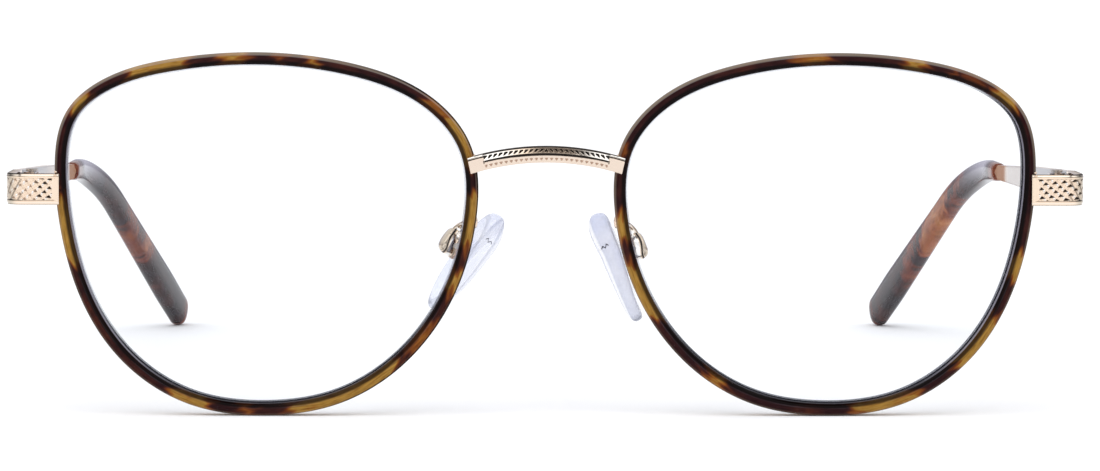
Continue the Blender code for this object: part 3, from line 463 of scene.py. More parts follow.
@dataclass(frozen=True)
class ClearLens:
    """Uncoloured lens: see-through, with a Fresnel reflection and a faint cool coating."""

    name: str = "clear_lens"
    tint: Colour = (0.985, 0.992, 1.0)
    gloss: Colour = (0.92, 0.95, 1.0)
    # navy and slate are painted shade on the ground edge.
    navy: Colour = (0.020, 0.022, 0.040)
    slate: Colour = (0.055, 0.055, 0.080)

    def material(self) -> bpy.types.Material:
        """Mixes a clear shader with a mirror by Fresnel, a little cloudy with slow noise.

        The mark bevel paints the lens's ground edge navy and slate, as painted shade that stands for the dark
        acetate wall behind it.
        """
        g = Graph(bpy.data.materials.new(self.name))
        clear = g.value("ShaderNodeBsdfTransparent", None, {"Color": self.tint})
        haze = g.noise(g.place(), 60.0, 2.0)
        mirror = g.principled(self.gloss, 0.02 + haze * 0.02, {"Metallic": 1.0})
        share = g.value("ShaderNodeFresnel", None, {"IOR": 1.3}) * 0.3
        body = g.value("ShaderNodeMixShader", None, {0: share, 1: clear, 2: mirror})
        ground = g.noise(g.place(), 700.0, 2.0)
        edge = g.blend(ground, self.navy, self.slate)
        dark = g.principled(edge, 0.3 + ground * 0.1, {"Specular IOR Level": 0.05})
        return g.mixed(g.mark("bevel") * 0.8, body, dark)


@dataclass(frozen=True)
class Silicone:
    """Clear moulded silicone, lilac white, with painted dark lines, less clear, where its faces meet."""

    name: str = "clear_silicone"
    body: Colour = (0.80, 0.83, 0.94)
    lilac: Colour = (0.62, 0.67, 0.88)
    # deep is painted shade for the edges, and white a painted highlight on the border.
    deep: Colour = (0.30, 0.32, 0.40)
    white: Colour = (0.98, 0.985, 1.0)
    tint: Colour = (0.96, 0.967, 1.0)

    def material(self) -> bpy.types.Material:
        """A soft lilac skin over a clear one, mixed by how edge on it is and by slow noise.

        The mark haze is the density, border paints a white highlight on the bevel, cap tints the top end,
        and line paints dark edges as shade. Where the skin is seen edge on it is painted dark too, as shade.
        """
        g = Graph(bpy.data.materials.new(self.name))
        at = g.place()
        cloud = g.noise(at, 420.0, 4.0, 0.65)
        facing = g.value("ShaderNodeLayerWeight", None, {"Blend": 0.3}, "Facing")
        border, cap, line = g.mark("border"), g.mark("cap"), g.mark("line")
        colour = g.blend((cap * (0.25 + cloud * 0.8)).step(0.0, 1.0), self.body, self.lilac)
        # A painted highlight on the border, then painted shade where the skin is seen edge on and along the
        # lines.
        colour = g.blend(border * 0.85, colour, self.white)
        colour = g.blend((facing.step(0.80, 1.0) * 0.8 + line * 0.85).step(0.0, 1.0), colour, self.deep)
        normal = g.relief(g.noise(at, 700.0, 2.0), 0.02, 0.5)
        soft = g.principled(colour, 0.06 + cloud * 0.08, {"Normal": normal, "IOR": 1.41})
        clear = g.value("ShaderNodeBsdfTransparent", None, {"Color": self.tint})
        share = g.mark("haze") + facing.step(0.45, 1.0) * 0.4 + border * 0.4 + cap * 0.06 + line * 0.55
        share = share + (cloud - 0.5) * 0.45
        return g.mixed(share.clamped(), clear, soft)


@dataclass(frozen=True)
class TurnedSteel:
    """Screws and pins: turned steel with fine rings of tool marks."""

    name: str = "turned_steel"
    bright: Colour = (0.66, 0.63, 0.60)
    dull: Colour = (0.42, 0.39, 0.37)

    def material(self) -> bpy.types.Material:
        """Fine noise mixes bright and dull metal, and lifts the roughness."""
        g = Graph(bpy.data.materials.new(self.name))
        at = g.place((1.0, 1.0, 9.0))
        marks = g.noise(at, 2600.0, 3.0, 0.6)
        colour = g.blend(marks.step(0.3, 0.7), self.bright, self.dull)
        normal = g.relief(marks, 0.006, 0.6)
        return g.finish(g.principled(colour, 0.2 + marks * 0.2, {"Metallic": 1.0, "Normal": normal}))


@dataclass(frozen=True)
class Finish:
    """A finished material, and the name of its slot."""

    material: bpy.types.Material
    slot: str


class Finishes:
    """The finishes, each made once."""

    def __init__(self) -> None:
        """Makes them all."""
        # The hinges get a greyer, darker copy of the rose gold: a painted grey reflection and shade.
        hinge = RoseGold("painted_grey_hinge_plating", (0.60, 0.57, 0.57), (0.53, 0.50, 0.50))
        dark = TurnedSteel("dark_steel", (0.10, 0.095, 0.11), (0.02, 0.02, 0.025))
        self.gold = Finish(RoseGold().material(), "rose_gold")
        self.hinge = Finish(hinge.material(), "rose_gold")
        self.tortoise = Finish(Tortoise().material(), "tortoise")
        self.tip = Finish(Tortoise("tip_acetate", TIP_TONES, gloss=0.28).material(), "tortoise")
        self.lens = Finish(ClearLens().material(), "clear_lens")
        self.silicone = Finish(Silicone().material(), "silicone")
        self.steel = Finish(TurnedSteel().material(), "steel")
        self.dark = Finish(dark.material(), "steel")


def settle(piece: bpy.types.Object, body: str, finish: Finish, node: str | None = None) -> None:
    """Dresses a new piece, lets it ride on a body, and lets it stand for a CAD node.

    Args:
        piece: The new piece.
        body: The CAD body that it moves with.
        finish: Its material, and the name of its slot.
        node: The CAD node that it stands for, if any.
    """
    piece.data.materials.append(finish.material)
    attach(piece, body)
    if node is not None:
        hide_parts(node)
    LOG.info("%s: %d faces on %s", piece.name, len(piece.data.polygons), body)


# ---------------------------------------------------------------- the front


@dataclass(frozen=True)
class Outline:
    """The rims' outer edge, a closed cubic through a few shares of its half sizes, seen from the front."""

    half_width: float = 27.1
    half_height: float = 23.3
    centre_x: float = 35.75
    centre_z: float = 23.3
    start_height: float = 29.1
    base_curve: float = 265.0
    wrap: float = math.radians(1.0)
    shares: tuple[tuple[float, float], ...] = (
        (0.97, 0.00), (1.00, 0.31), (0.94, 0.68), (0.755, 0.858), (0.46, 0.96), (0.06, 1.00),
        (-0.42, 0.935), (-0.76, 0.77), (-0.96, 0.50), (-0.99, 0.08), (-0.885, -0.34), (-0.645, -0.72),
        (-0.34, -0.935), (0.00, -1.00), (0.365, -0.94), (0.685, -0.70), (0.885, -0.34),
    )  # fmt: skip

    def spline(self, count: int) -> Array:
        """The periodic cubic through the points, from the tridiagonal system of its second derivatives.

        Args:
            count: How many points to give, evenly spaced by the spline's own parameter.

        Returns:
            The points (x, z), as (count, 2).
        """
        keys = np.array(self.shares) * (self.half_width, self.half_height)
        n = len(keys)
        after = np.linalg.norm(np.roll(keys, -1, 0) - keys, axis=1)
        before = np.roll(after, 1)
        row = np.arange(n)
        system = np.zeros((n, n))
        system[row, row] = 2 * (before + after)
        system[row, row - 1] = before
        system[row, (row + 1) % n] = after
        slope = (np.roll(keys, -1, 0) - keys) / after[:, None]
        bend = np.linalg.solve(system, 6 * (slope - np.roll(slope, 1, 0)))
        knots = np.concatenate([[0.0], np.cumsum(after)])
        at = np.linspace(0.0, knots[-1], count, endpoint=False)
        k = np.clip(np.searchsorted(knots, at, side="right") - 1, 0, n - 1)
        nxt = (k + 1) % n
        h, u = after[k][:, None], (at - knots[k])[:, None]
        curve = (bend[k] * (h - u) ** 3 + bend[nxt] * u**3) / (6 * h)
        curve += (keys[k] / h - bend[k] * h / 6) * (h - u) + (keys[nxt] / h - bend[nxt] * h / 6) * u
        return curve + (self.centre_x, self.centre_z)

    def around(self, count: int) -> tuple[Array, Array]:
        """Points evenly spaced by arc from the hinge's height up over the top, and their outward normals.

        Args:
            count: How many points.

        Returns:
            Points (x, z) and unit normals, both (count, 2).
        """
        dense = self.spline(6000)
        distance = np.abs(dense[:, 1] - self.start_height)
        first = int(np.argmin(np.where(dense[:, 0] > self.centre_x, distance, np.inf)))
        dense = np.roll(dense, -first, axis=0)
        dense = np.vstack([dense, dense[:1]])
        run = running(dense)
        points = at_runs(np.linspace(0.0, run[-1], count, endpoint=False), run, dense)
        return points, right_of(np.roll(points, -1, 0) - np.roll(points, 1, 0))

    def on_front(self, flat: Array, depth: Array | float) -> Array:
        """Lays flat (x, z) points on the base curve, depth behind the rims' front.

        y is front + depth + (dx^2 + dz^2) / (2 base curve) + dx tan(wrap), from the eye's centre.
        """
        dx, dz = flat[..., 0] - self.centre_x, flat[..., 1] - self.centre_z
        y = FRONT_Y + depth + (dx**2 + dz**2) / (2 * self.base_curve) + dx * math.tan(self.wrap)
        return np.stack([flat[..., 0], y, flat[..., 1]], axis=-1)

    def nasal_x(self, height: float) -> float:
        """The x of the rim's nose side at a height."""
        points, _ = self.around(720)
        inner = points[points[:, 0] < self.centre_x]
        order = np.argsort(inner[:, 1])
        return float(np.interp(height, inner[order, 1], inner[order, 0]))


@dataclass(frozen=True)
class Cloud:
    """A cloud of one tone in the tortoise, between two shares of the way round or along a piece."""

    start: float
    end: float
    tone: Tone
    slant: float = 0.0


def clouds_on(clouds: tuple[Cloud, ...], share: Array, across: Array, soft: float) -> Array:
    """The tone mark of a set of clouds.

    A cloud is 1 - smoothstep of the distance from its middle, taken round the loop, with edges that lean
    by slant times the place across the face and waver as two sines.

    Args:
        clouds: The clouds.
        share: Each point's share of the way along, (rings, 1).
        across: Each point's place across the face, from -1 to 1, (1, points).
        soft: Half the width of a cloud's edge, as a share.

    Returns:
        The mark, (rings, points).
    """
    tone = np.zeros(np.broadcast_shapes(share.shape, across.shape))
    waver = 0.3 * soft * (np.sin(across * 5.1 + share * 310.0) + np.sin(across * 2.3 - share * 173.0))
    for cloud in clouds:
        middle, half = (cloud.start + cloud.end) / 2, (cloud.end - cloud.start) / 2
        away = (share - middle + cloud.slant * across + waver + 0.5) % 1.0 - 0.5
        tone = np.maximum(tone, fade(np.abs(away), half - soft, half + soft) * cloud.tone.value)
    return tone


RIM_CLOUDS: dict[Side, tuple[Cloud, ...]] = {
    Side.RIGHT: (
        Cloud(0.064, 0.084, Tone.AMBER), Cloud(0.119, 0.171, Tone.AMBER, 0.003),
        Cloud(0.194, 0.217, Tone.HONEY), Cloud(0.240, 0.247, Tone.ORANGE), Cloud(0.264, 0.275, Tone.AMBER),
        Cloud(0.363, 0.390, Tone.HONEY), Cloud(0.389, 0.436, Tone.AMBER, -0.004),
        Cloud(0.456, 0.501, Tone.AMBER), Cloud(0.520, 0.540, Tone.AMBER), Cloud(0.568, 0.601, Tone.ORANGE),
        Cloud(0.611, 0.707, Tone.AMBER, 0.004), Cloud(0.735, 0.748, Tone.ORANGE),
        Cloud(0.771, 0.806, Tone.AMBER), Cloud(0.937, 0.995, Tone.AMBER, 0.003),
    ),
    Side.LEFT: (
        Cloud(0.068, 0.096, Tone.AMBER), Cloud(0.100, 0.124, Tone.RUST), Cloud(0.126, 0.132, Tone.ORANGE),
        Cloud(0.151, 0.170, Tone.AMBER), Cloud(0.227, 0.257, Tone.HONEY, 0.003),
        Cloud(0.416, 0.428, Tone.ORANGE), Cloud(0.472, 0.495, Tone.AMBER),
        Cloud(0.513, 0.564, Tone.AMBER, -0.003), Cloud(0.621, 0.643, Tone.HONEY),
        Cloud(0.749, 0.804, Tone.AMBER, 0.004), Cloud(0.841, 0.895, Tone.AMBER),
        Cloud(0.925, 0.948, Tone.AMBER),
    ),
}  # fmt: skip


@dataclass(frozen=True)
class EyeRim:
    """One eye: the tortoise rim, the metal band on its skirt, and the lens in its groove."""

    side: Side
    outline: Outline
    face: float = 1.6
    depth: float = 2.8
    lip: float = 0.85
    skirt: float = 0.85
    rounding: float = 0.28
    inner_round: float = 0.50
    inner_fall: float = 0.55
    dome: float = 0.07
    chamfer: float = 0.1
    lip_chamfer: float = 0.08
    clearance: float = 0.006
    groove_back: float = 1.7
    groove_depth: float = 0.6
    groove_half: float = 0.75
    band_inset: float = 0.15
    band_thickness: float = 0.4
    band_front: float = 1.05
    band_back: float = 2.95
    band_split: float = 0.3
    way_round: float = 162.7
    lens_inset: float = 1.2
    bevel_height: float = 0.6
    lens_half: float = 1.0
    lens_shares: tuple[float, ...] = (0.01, 0.12, 0.28, 0.44, 0.6, 0.74, 0.86, 0.95, 1.0)
    # How strongly points on the wall that faces the lens carry the painted pale reflection line.
    wall_marks: tuple[float, ...] = (0.08, 0.25, 0.48, 0.62, 0.62, 0.6, 0.62, 0.62, 0.5)
    stations: int = 720
    lens_stations: int = 240

    def section(self) -> tuple[Array, Array, Array]:
        """The rim's section: a quarter round, a face domed as a parabola, a quarter ellipse, the groove.

        Returns:
            Points (inset, depth) round the section, and each point's edge and wall marks: painted shade and a
            painted pale reflection.
        """
        r, f, c, fall = self.rounding, self.face, self.inner_round, self.inner_fall
        turn = np.linspace(0.0, math.pi / 2, 10)
        outer = np.column_stack([r - r * np.cos(turn), self.dome + r - r * np.sin(turn)])
        t = np.linspace(-1.0, 1.0, 15)[1:-1]
        crown = np.column_stack([(f - c + r) / 2 + t * (f - c - r) / 2, self.dome * t**2])
        inner = np.column_stack([f - c + c * np.sin(turn), self.dome + fall - fall * np.cos(turn)])
        g, back, foot, cut = self.groove_half, self.groove_back, f - self.skirt, self.chamfer
        rest = np.array([
            (f, back - g), (f - self.groove_depth, back), (f, back + g), (f, self.depth - cut),
            (f - cut, self.depth), (foot + cut, self.depth), (foot, self.depth - cut), (foot, self.lip),
            (self.lip_chamfer, self.lip), (0.0, self.lip - self.lip_chamfer),
        ])  # fmt: skip
        points = np.vstack([outer, crown, inner, rest])
        faces = len(points) - len(rest)
        # Painted shade at the outer edge and on the hidden groove and back; a painted pale reflection on the
        # wall that faces the lens.
        edge = 0.7 * fade(points[:, 0], 0.0, 0.12)
        edge[faces:] = 1.0
        edge[faces + 3 : -2] = 0.3
        wall = np.zeros(len(points))
        wall[faces - 4 : faces + 5] = self.wall_marks
        return points, edge, wall

    def carried(self, section: Array) -> Array:
        """A section of (inset, depth) points carried round the outline: outline - inset * normal."""
        points, normals = self.outline.around(self.stations)
        flat = points[:, None, :] - (section[None, :, 0, None] + self.clearance) * normals[:, None, :]
        return self.side.mirrored(self.outline.on_front(flat, section[None, :, 1]))

    def rim(self) -> bpy.types.Object:
        """The tortoise ring. Its marks, painted shade, sheen and highlights, follow the inset and which way the
        outline faces.
        """
        section, edge, wall = self.section()
        share = (np.arange(self.stations) / self.stations)[:, None]
        inset = section[None, :, 0]
        across = (inset / self.face) * 2 - 1
        normal = self.outline.around(self.stations)[1]
        outwards, rising = normal[:, :1], normal[:, 1:]
        # Painted shade on the inner shoulder and at the outer edge, less on the outer half where the outline
        # faces up, and a dark line at the outer edge of the right rim's nose side; a painted sheen on the outer
        # shoulder, strongest where it faces up.
        facing = smoothstep(rising, -0.6, 0.7)
        shoulder = 0.80 - 0.14 * smoothstep(outwards, 0.2, 0.9)
        edge = np.maximum(edge[None, :], smoothstep(inset, shoulder, shoulder + 0.36))
        edge = edge * (1 - 0.4 * facing * (inset < self.face / 2))
        nasal = smoothstep(-outwards, 0.1, 0.5) * (self.side is Side.RIGHT)
        reach = 0.10 + 0.12 * facing
        sheen = (0.35 + 0.65 * facing) * fade(inset, reach, reach + 0.24)
        sheen = sheen * (1 - nasal * fade(inset, 0.16, 0.24))
        turns = share * 2 * math.pi
        wave = np.sin(turns * 9.0) * 0.5 + np.sin(turns * 23.0 + 1.0) * 0.5
        # Painted highlight lines: upper where the outline rises, lower where it falls, ridge on the temple
        # side; the wall's painted reflection fades where the outline faces down.
        upper = bump(inset, 0.34, 0.01, 0.09) * smoothstep(rising, -0.2, 0.6) * (0.22 + 0.14 * wave)
        lower = bump(inset, 0.95, 0.01, 0.10) * smoothstep(-rising, 0.1, 0.7) * (0.10 + 0.12 * wave)
        ridge = bump(inset, 1.52, 0.07, 0.07) * smoothstep(outwards, 0.3, 0.85) * 0.5
        wall = wall[None, :] * (1 - 0.65 * smoothstep(-rising, 0.2, 0.8))
        marks = {
            "tone": clouds_on(RIM_CLOUDS[self.side], share, across, 0.0080),
            "run": share,
            "across": across,
            "edge": np.maximum(edge, nasal * fade(inset, 0.15, 0.22)),
            "sheen": sheen,
            "pale": np.maximum(wall, np.clip(upper + lower + ridge, 0.0, 1.0)),
        }
        return skin(self.side.word + "_tortoise_rim", self.carried(section), True, marks)

    def band(self) -> bpy.types.Object:
        """The metal band, open at the rim lock: the same carrying, with a rounded oblong section."""
        half = np.array([self.band_thickness, self.band_back - self.band_front]) / 2
        middle = half + (self.band_inset, self.band_front)
        cut = math.ceil(self.band_split / 2 * self.stations / self.way_round)
        rings = self.carried(middle + half * superellipse(20, 9.0))[cut:-cut]
        return skin(self.side.word + "_rim_band", rings, crease=50.0)

    def lens(self) -> bpy.types.Object:
        """The lens: rings from the eye's centre to a V bevel, front and back, on the base curve."""
        points, normals = self.outline.around(self.lens_stations)
        tip = points - self.lens_inset * normals
        edge = points - (self.lens_inset + self.bevel_height) * normals
        middle = np.array([self.outline.centre_x, self.outline.centre_z])
        faces = middle + (edge[None] - middle) * np.array(self.lens_shares)[:, None, None]
        flat = np.concatenate([faces, edge[None], tip[None], edge[None], faces[::-1]])
        count, half = len(faces), self.lens_half
        depth = np.concatenate([np.full(count, -half), [-half * 0.9, 0.0, half * 0.9], np.full(count, half)])
        rings = self.side.mirrored(self.outline.on_front(flat, self.groove_back + depth[:, None]))
        # Painted shade on the ground edge, strongest where it faces down and, on the left lens, towards the
        # temple.
        bevel = np.zeros((len(rings), self.lens_stations))
        outer = normals[:, 0] * (1.0 if self.side is Side.LEFT else -0.2)
        bevel[count : count + 3] = 0.15 + 0.85 * smoothstep(np.maximum(outer, -normals[:, 1]), 0.3, 0.8)
        return skin(self.side.word + "_clear_lens", rings, marks={"bevel": bevel})

    def build(self, finishes: Finishes) -> None:
        """Makes and dresses the eye's three pieces."""
        word = self.side.word
        settle(self.rim(), "front", finishes.tortoise, word + "_rim")
        settle(self.band(), "front", finishes.gold, word + "_eyewire")
        settle(self.lens(), "front", finishes.lens, word + "_lens")


@dataclass(frozen=True)
class Bridge:
    """The arched bar: smooth end blocks, and between them two rows of beaded engraving."""

    outline: Outline
    half: float = 9.87
    radius: float = 32.3
    bow: float = 0.8
    height: float = 2.08
    turned: float = 0.72
    thickness: float = 1.5
    crown_height: float = 33.73
    seat: tuple[float, float] = (10.1, 31.9)
    foot_height: float = 32.275
    slope_back: float = 0.55
    top_round: float = 0.18
    fold_height: float = 0.05
    block_from: float = 7.95
    block_line: float = 0.66
    pitch: float = 0.65
    wedge_low: float = 0.30
    wedge_height: float = 0.40
    wedge_lean: float = 0.42
    dent_height: float = -0.46
    dent_half: float = 0.22
    stations: int = 640
    turn_steps: int = 8

    def engraving(self, x: Array, up: Array) -> tuple[Array, Array, Array]:
        """Depth, painted shade and painted brown reflection of the engraving at a place along the bar and a
        height on its face.

        A row of slanted wedge pits runs along the roof, a groove along the fold, and a row of small
        triangular dents below it. The pits and the groove are painted dark as shade, and the dents get a
        painted brown reflection and a little painted shade. Pit k is centred where x / pitch - k is a whole
        number.

        Args:
            x: Place along the bar, (stations, 1).
            up: Height from the bar's middle line, (1, points).

        Returns:
            Depth in millimetres, then painted shade and painted brown reflection from 0 to 1, all (stations,
            points).
        """
        away = np.abs(x)
        middle = fade(away, self.block_from - 0.10, self.block_from)
        cell = ((away / self.pitch + 0.5) % 1.0 - 0.5) * self.pitch
        rise = (up - self.wedge_low) / self.wedge_height
        half = (0.08 + 0.17 * np.clip(rise, 0, 1)) * (1 + 0.12 * smoothstep(away, 2.0, 5.0))
        wedge = smoothstep(half - np.abs(cell + (rise - 0.5) * self.wedge_lean), -0.03, 0.04)
        wedge = wedge * smoothstep(rise, -0.06, 0.12) * fade(rise, 0.9, 1.08)
        fold = bump(up, 0.03, 0.15 - 0.05 * smoothstep(away, 3.0, 8.0), 0.05)
        drop = up - self.dent_height
        dent = smoothstep(self.dent_half + drop * 0.6 - np.abs(cell), -0.02, 0.06)
        dent = dent * bump(drop, -0.12, 0.15, 0.06)
        depth = middle * (0.15 * wedge + 0.10 * fold + 0.05 * dent)
        dark = middle * np.clip(wedge + fold + 0.12 * dent, 0.0, 1.0)
        return depth, dark, middle * dent * 0.75

    def block_lines(self, x: Array, up: Array) -> Array:
        """Painted shade round an end block: the line under its top facet, and the notches where it starts."""
        past = np.abs(x) - self.block_from
        under = smoothstep(past, 0.2, 0.5) * bump(up, self.block_line, 0.08, 0.04)
        notch = bump(past, 0.10, 0.32, 0.2) * bump(up, self.block_line, 0.09, 0.08)
        step = bump(past, 0.04, 0.07, 0.08) * bump(up, -0.04, 0.20, 0.1)
        return np.clip(under + notch + step * 0.85, 0.0, 1.0)

    def bar(self) -> bpy.types.Object:
        """The bar's section carried along its arc.

        The middle line is z = crown - r + sqrt(r^2 - x^2), bowed forwards by bow (1 - (x / half)^2), and
        sections turn with it by most of its slope. In the middle the face folds back from just above that
        line and rounds over at its top edge; in the end blocks it folds near the top.
        """
        x = np.linspace(-self.half, self.half, self.stations)[:, None]
        away = np.abs(x)
        low, high = -self.height / 2, self.height / 2
        up = np.append(np.linspace(low + 0.04, high - 0.10, 76), high - np.geomspace(0.08, 0.004, 8))[None, :]
        end_block = smoothstep(away, self.block_from - 0.05, self.block_from + 0.05)
        fold = self.fold_height + end_block * self.block_line
        slope = self.slope_back / (high - self.fold_height) - end_block * 0.12
        over = np.clip(up - (high - self.top_round), 0.0, self.top_round)
        roof = np.clip(up - fold, 0.0, None) * slope + self.top_round - np.sqrt(self.top_round**2 - over**2)
        roof = roof + 0.03 * fade(up, low, low + 0.08)
        engraved, dark, rust = self.engraving(x, up)
        lines = self.block_lines(x, up)
        back = self.outline.on_front(np.array([self.seat]), 0.0)[0, 1] - 0.2
        face = back - self.thickness + roof + engraved + lines * 0.04
        steps = np.linspace(0.0, 1.0, self.turn_steps + 1)[None, 1:]
        top = face[:, -1:] + (back - face[:, -1:]) * steps
        under = back + (face[:, :1] + 0.04 - back) * steps
        depth = np.hstack([face, top, under]) - self.bow * (1 - (x / self.half) ** 2)
        rise = np.hstack([up, np.full(steps.shape, high), np.full(steps.shape, low)])
        lean = self.turned * x / self.radius
        line = self.crown_height - self.radius + np.sqrt(self.radius**2 - x**2)
        rings = np.stack([x + rise * lean, depth, line + rise * np.sqrt(1 - lean**2)], axis=-1)
        # Painted shade: dark lines along the top edge and the foot, and a dark top; below the fold a pinker,
        # darker painted reflection, and above it towards the ends a painted highlight.
        end_top = smoothstep(away, self.block_from + 1.0, self.block_from + 1.2)
        outline = smoothstep(up, high - 0.25, high - 0.16) * (1 - end_block)
        outline = np.maximum(outline, smoothstep(up, high - 0.12, high - 0.07) * (1 - end_top))
        foot = fade(up, low, low + 0.12) * 0.15
        pit = np.clip(dark + lines + outline + foot, 0.0, 1.0)
        top_dark = (0.10 * fade(away, 2.0, 9.0) + 0.90) * (1 - 0.3 * steps) * (1 - end_top)
        plain = np.zeros(top.shape)
        blush = fade(up, fold - 0.02, fold + 0.02) * 0.9
        shine = smoothstep(up, fold + 0.02, fold + 0.1) * smoothstep(away, 2.0, 6.5) * 0.9
        marks = {
            "pit": np.hstack([pit, top_dark, plain]),
            "blush": np.hstack([blush, plain, plain]),
            "shine": np.hstack([shine, plain, plain]),
            "rust": np.hstack([rust, plain, plain]),
        }
        return skin("bridge_bar", rings, marks=marks, crease=30.0)

    def foot(self, side: Side) -> bpy.types.Object:
        """A soldered foot from the bar's back to the band: a boxy superellipse run straight back."""
        z = self.foot_height
        edge = self.outline.nasal_x(z)
        back = self.outline.on_front(np.array([[edge, z]]), 0.0)[0, 1]
        y = np.linspace(back - 1.0, back + 2.95, 12)[:, None]
        loop = superellipse(24, 4.0)[None]
        rings = np.broadcast_arrays(edge - 0.55 + 0.35 * loop[..., 0], y, z + 0.75 * loop[..., 1])
        return skin(side.word + "_bridge_foot", side.mirrored(np.stack(rings, axis=-1)))

    def build(self, finishes: Finishes) -> None:
        """Makes the bar, its feet and the solder beads on its ends."""
        settle(self.bar(), "front", finishes.gold, "bridge")
        z = self.seat[1] + self.height / 2 + 0.40
        at = np.array([self.outline.nasal_x(z) + 0.02, FRONT_Y + 1.2, z])
        for side in Side:
            settle(self.foot(side), "front", finishes.gold)
            solder = bead(side.word + "_bridge_solder", side.mirrored(at), (0.22, 0.4, 0.26))
            settle(solder, "front", finishes.gold)


@dataclass(frozen=True)
class Hinge:
    """A temple's hinge axis, and where the arm that turns on it starts."""

    x: float = 66.2
    back: float = 9.2
    z: float = 29.1
    splay: float = math.radians(2.6)
    arm_face: float = 1.3
    stop_gap: float = 0.2

    def plan(self, outwards: float, back: float) -> Array:
        """A point in plan, outwards from the axis and back along the temple, as (x, y)."""
        c, s = math.cos(self.splay), math.sin(self.splay)
        return np.array([self.x + c * outwards - s * back, FRONT_Y + self.back + s * outwards + c * back])


@dataclass(frozen=True)
class Lug:
    """An end piece: a strip that laps the rim, turns the corner and runs back, with a knurled panel."""

    side: Side
    outline: Outline
    hinge: Hinge
    height: float = 4.0
    thickness: float = 1.25
    lap: float = 0.6
    corner: float = 2.4
    plain_end: float = 0.85
    top_facet: float = 0.34
    bottom_facet: float = 0.48
    pitch: float = 1.2
    row: float = 0.57
    tilt: float = math.radians(-6.5)
    pit_width: float = 0.38
    pit_height: float = 0.36
    worn: float = 0.62
    corner_run: float = 5.7
    score_run: float = 4.77
    score_pitch: float = 0.9
    score_lean: float = 0.46
    clearance: float = 0.004
    beads: tuple[tuple[float, float], ...] = ((-0.22, 2.25), (-0.16, 1.82))
    stations: int = 300
    face_points: int = 120
    back_points: int = 10

    @property
    def rim_x(self) -> float:
        """The x of the rim's widest place."""
        return self.outline.centre_x + self.outline.half_width

    def middle_line(self) -> tuple[Array, Array, Array]:
        """The strip's middle in plan: a straight, an arc of the corner's radius, and a straight.

        Returns:
            Its points (x, y) and outward normals, (stations, 2), and the run from its start.
        """
        half = self.thickness / 2
        face = self.outline.on_front(np.array([[self.rim_x, self.hinge.z]]), 0.0)[0, 1]
        start = np.array([self.rim_x - self.lap, face - 0.2 - half])
        end = self.hinge.plan(self.hinge.arm_face + half, -self.hinge.stop_gap / 2)
        side = self.hinge.plan(0.0, -1.0) - self.hinge.plan(0.0, 0.0)
        corner = end + side * (start[1] - end[1]) / side[1]
        turn = math.pi / 2 + self.hinge.splay
        radius = self.corner - half
        angle = np.linspace(0.0, turn, 60)
        centre = corner + (-radius * math.tan(turn / 2), radius)
        keys = np.vstack([start, centre + radius * np.column_stack([np.sin(angle), -np.cos(angle)]), end])
        run = running(keys)
        at = np.linspace(0.0, run[-1], self.stations)
        points = at_runs(at, run, keys)
        return points, right_of(np.gradient(points, axis=0)), at

    def knurl(self, run: Array, up: Array) -> tuple[Array, Array, Array, Array]:
        """Depth, painted shade, painted highlight and painted brown reflection of the panel at a run along the
        strip and a height on it.

        The pattern is turned by tilt, which gives a along it and b up it. Two families of V grooves,
        a / pitch +- b / (2 row), cross in a lattice, and one of the triangular pits, pointing up, lies on each
        crossing, deep near the rim and shallow towards the corner. A fine line frames the panel. The pits,
        the scored lines, the frame, the crease under the top facet, both long edges and two patches at the
        corner are painted dark as shade; strips along the facets and glints beside the pits are painted
        highlights; and a brown reflection is painted in the grooves, round the pits and in fine specks.

        Args:
            run: Length from the rim end, (stations, 1).
            up: Height above the bottom edge, (1, points).

        Returns:
            Depth in millimetres, then painted shade, painted highlight and painted brown reflection from 0 to
            1, all (stations, points).
        """
        low, high, length = self.bottom_facet + 0.12, self.height - self.top_facet - 0.30, run[-1, 0]
        panel = smoothstep(run, self.plain_end, self.plain_end + 0.1) * fade(run, length - 0.9, length - 0.8)
        panel = panel * smoothstep(up, low, low + 0.08) * fade(up, high - 0.08, high)
        corner = bump(run, self.corner_run, 1.0, 0.5)

        c, s = math.cos(self.tilt), math.sin(self.tilt)
        along = (run - self.plain_end - 0.35) * c - (up - self.height / 2) * s
        above = (run - self.plain_end) * s + (up - self.height / 2 - 0.1) * c
        a, b = along / self.pitch, above / (2 * self.row)
        grooves = sum(fade(np.abs((v + 0.5) % 1.0 - 0.5), 0.0, 0.13) for v in (a + b, a - b))
        line = np.round(above / self.row)
        shift = np.where(line % 2 == 0, 0.0, self.pitch / 2)
        sideways = (along - shift + self.pitch / 2) % self.pitch - self.pitch / 2
        rise = above - line * self.row + 0.12
        strength = 1.0 - (self.worn if self.side is Side.RIGHT else 0.0) * smoothstep(run, 2.5, 3.4)
        wander = 0.05 * np.sin(run * 5.1 + line * 2.3)
        width = self.pit_width * (0.4 + 0.6 * strength) * (1 - rise / self.pit_height)
        pit = smoothstep(width - np.abs(sideways + wander), -0.02, 0.06)
        pit = pit * smoothstep(rise, -0.03, 0.04) * strength
        steep = (run - self.score_run - (self.height - up - 0.8) * self.score_lean) / self.score_pitch
        score = fade(np.abs(steep - np.round(steep)) * self.score_pitch, 0.05, 0.12) * corner
        speck = np.sin(along * 15.7 + above * 2.0) * np.sin(above * 16.5 - along * 3.0)
        # Painted highlights: white glints beside the pits.
        glint = smoothstep(0.13 - np.hypot(sideways - 0.26, rise + 0.06), -0.03, 0.05)
        second = smoothstep(0.12 - np.hypot(sideways + 0.30, rise - 0.32), -0.04, 0.05)
        glint = panel * np.maximum(glint, 0.7 * second)

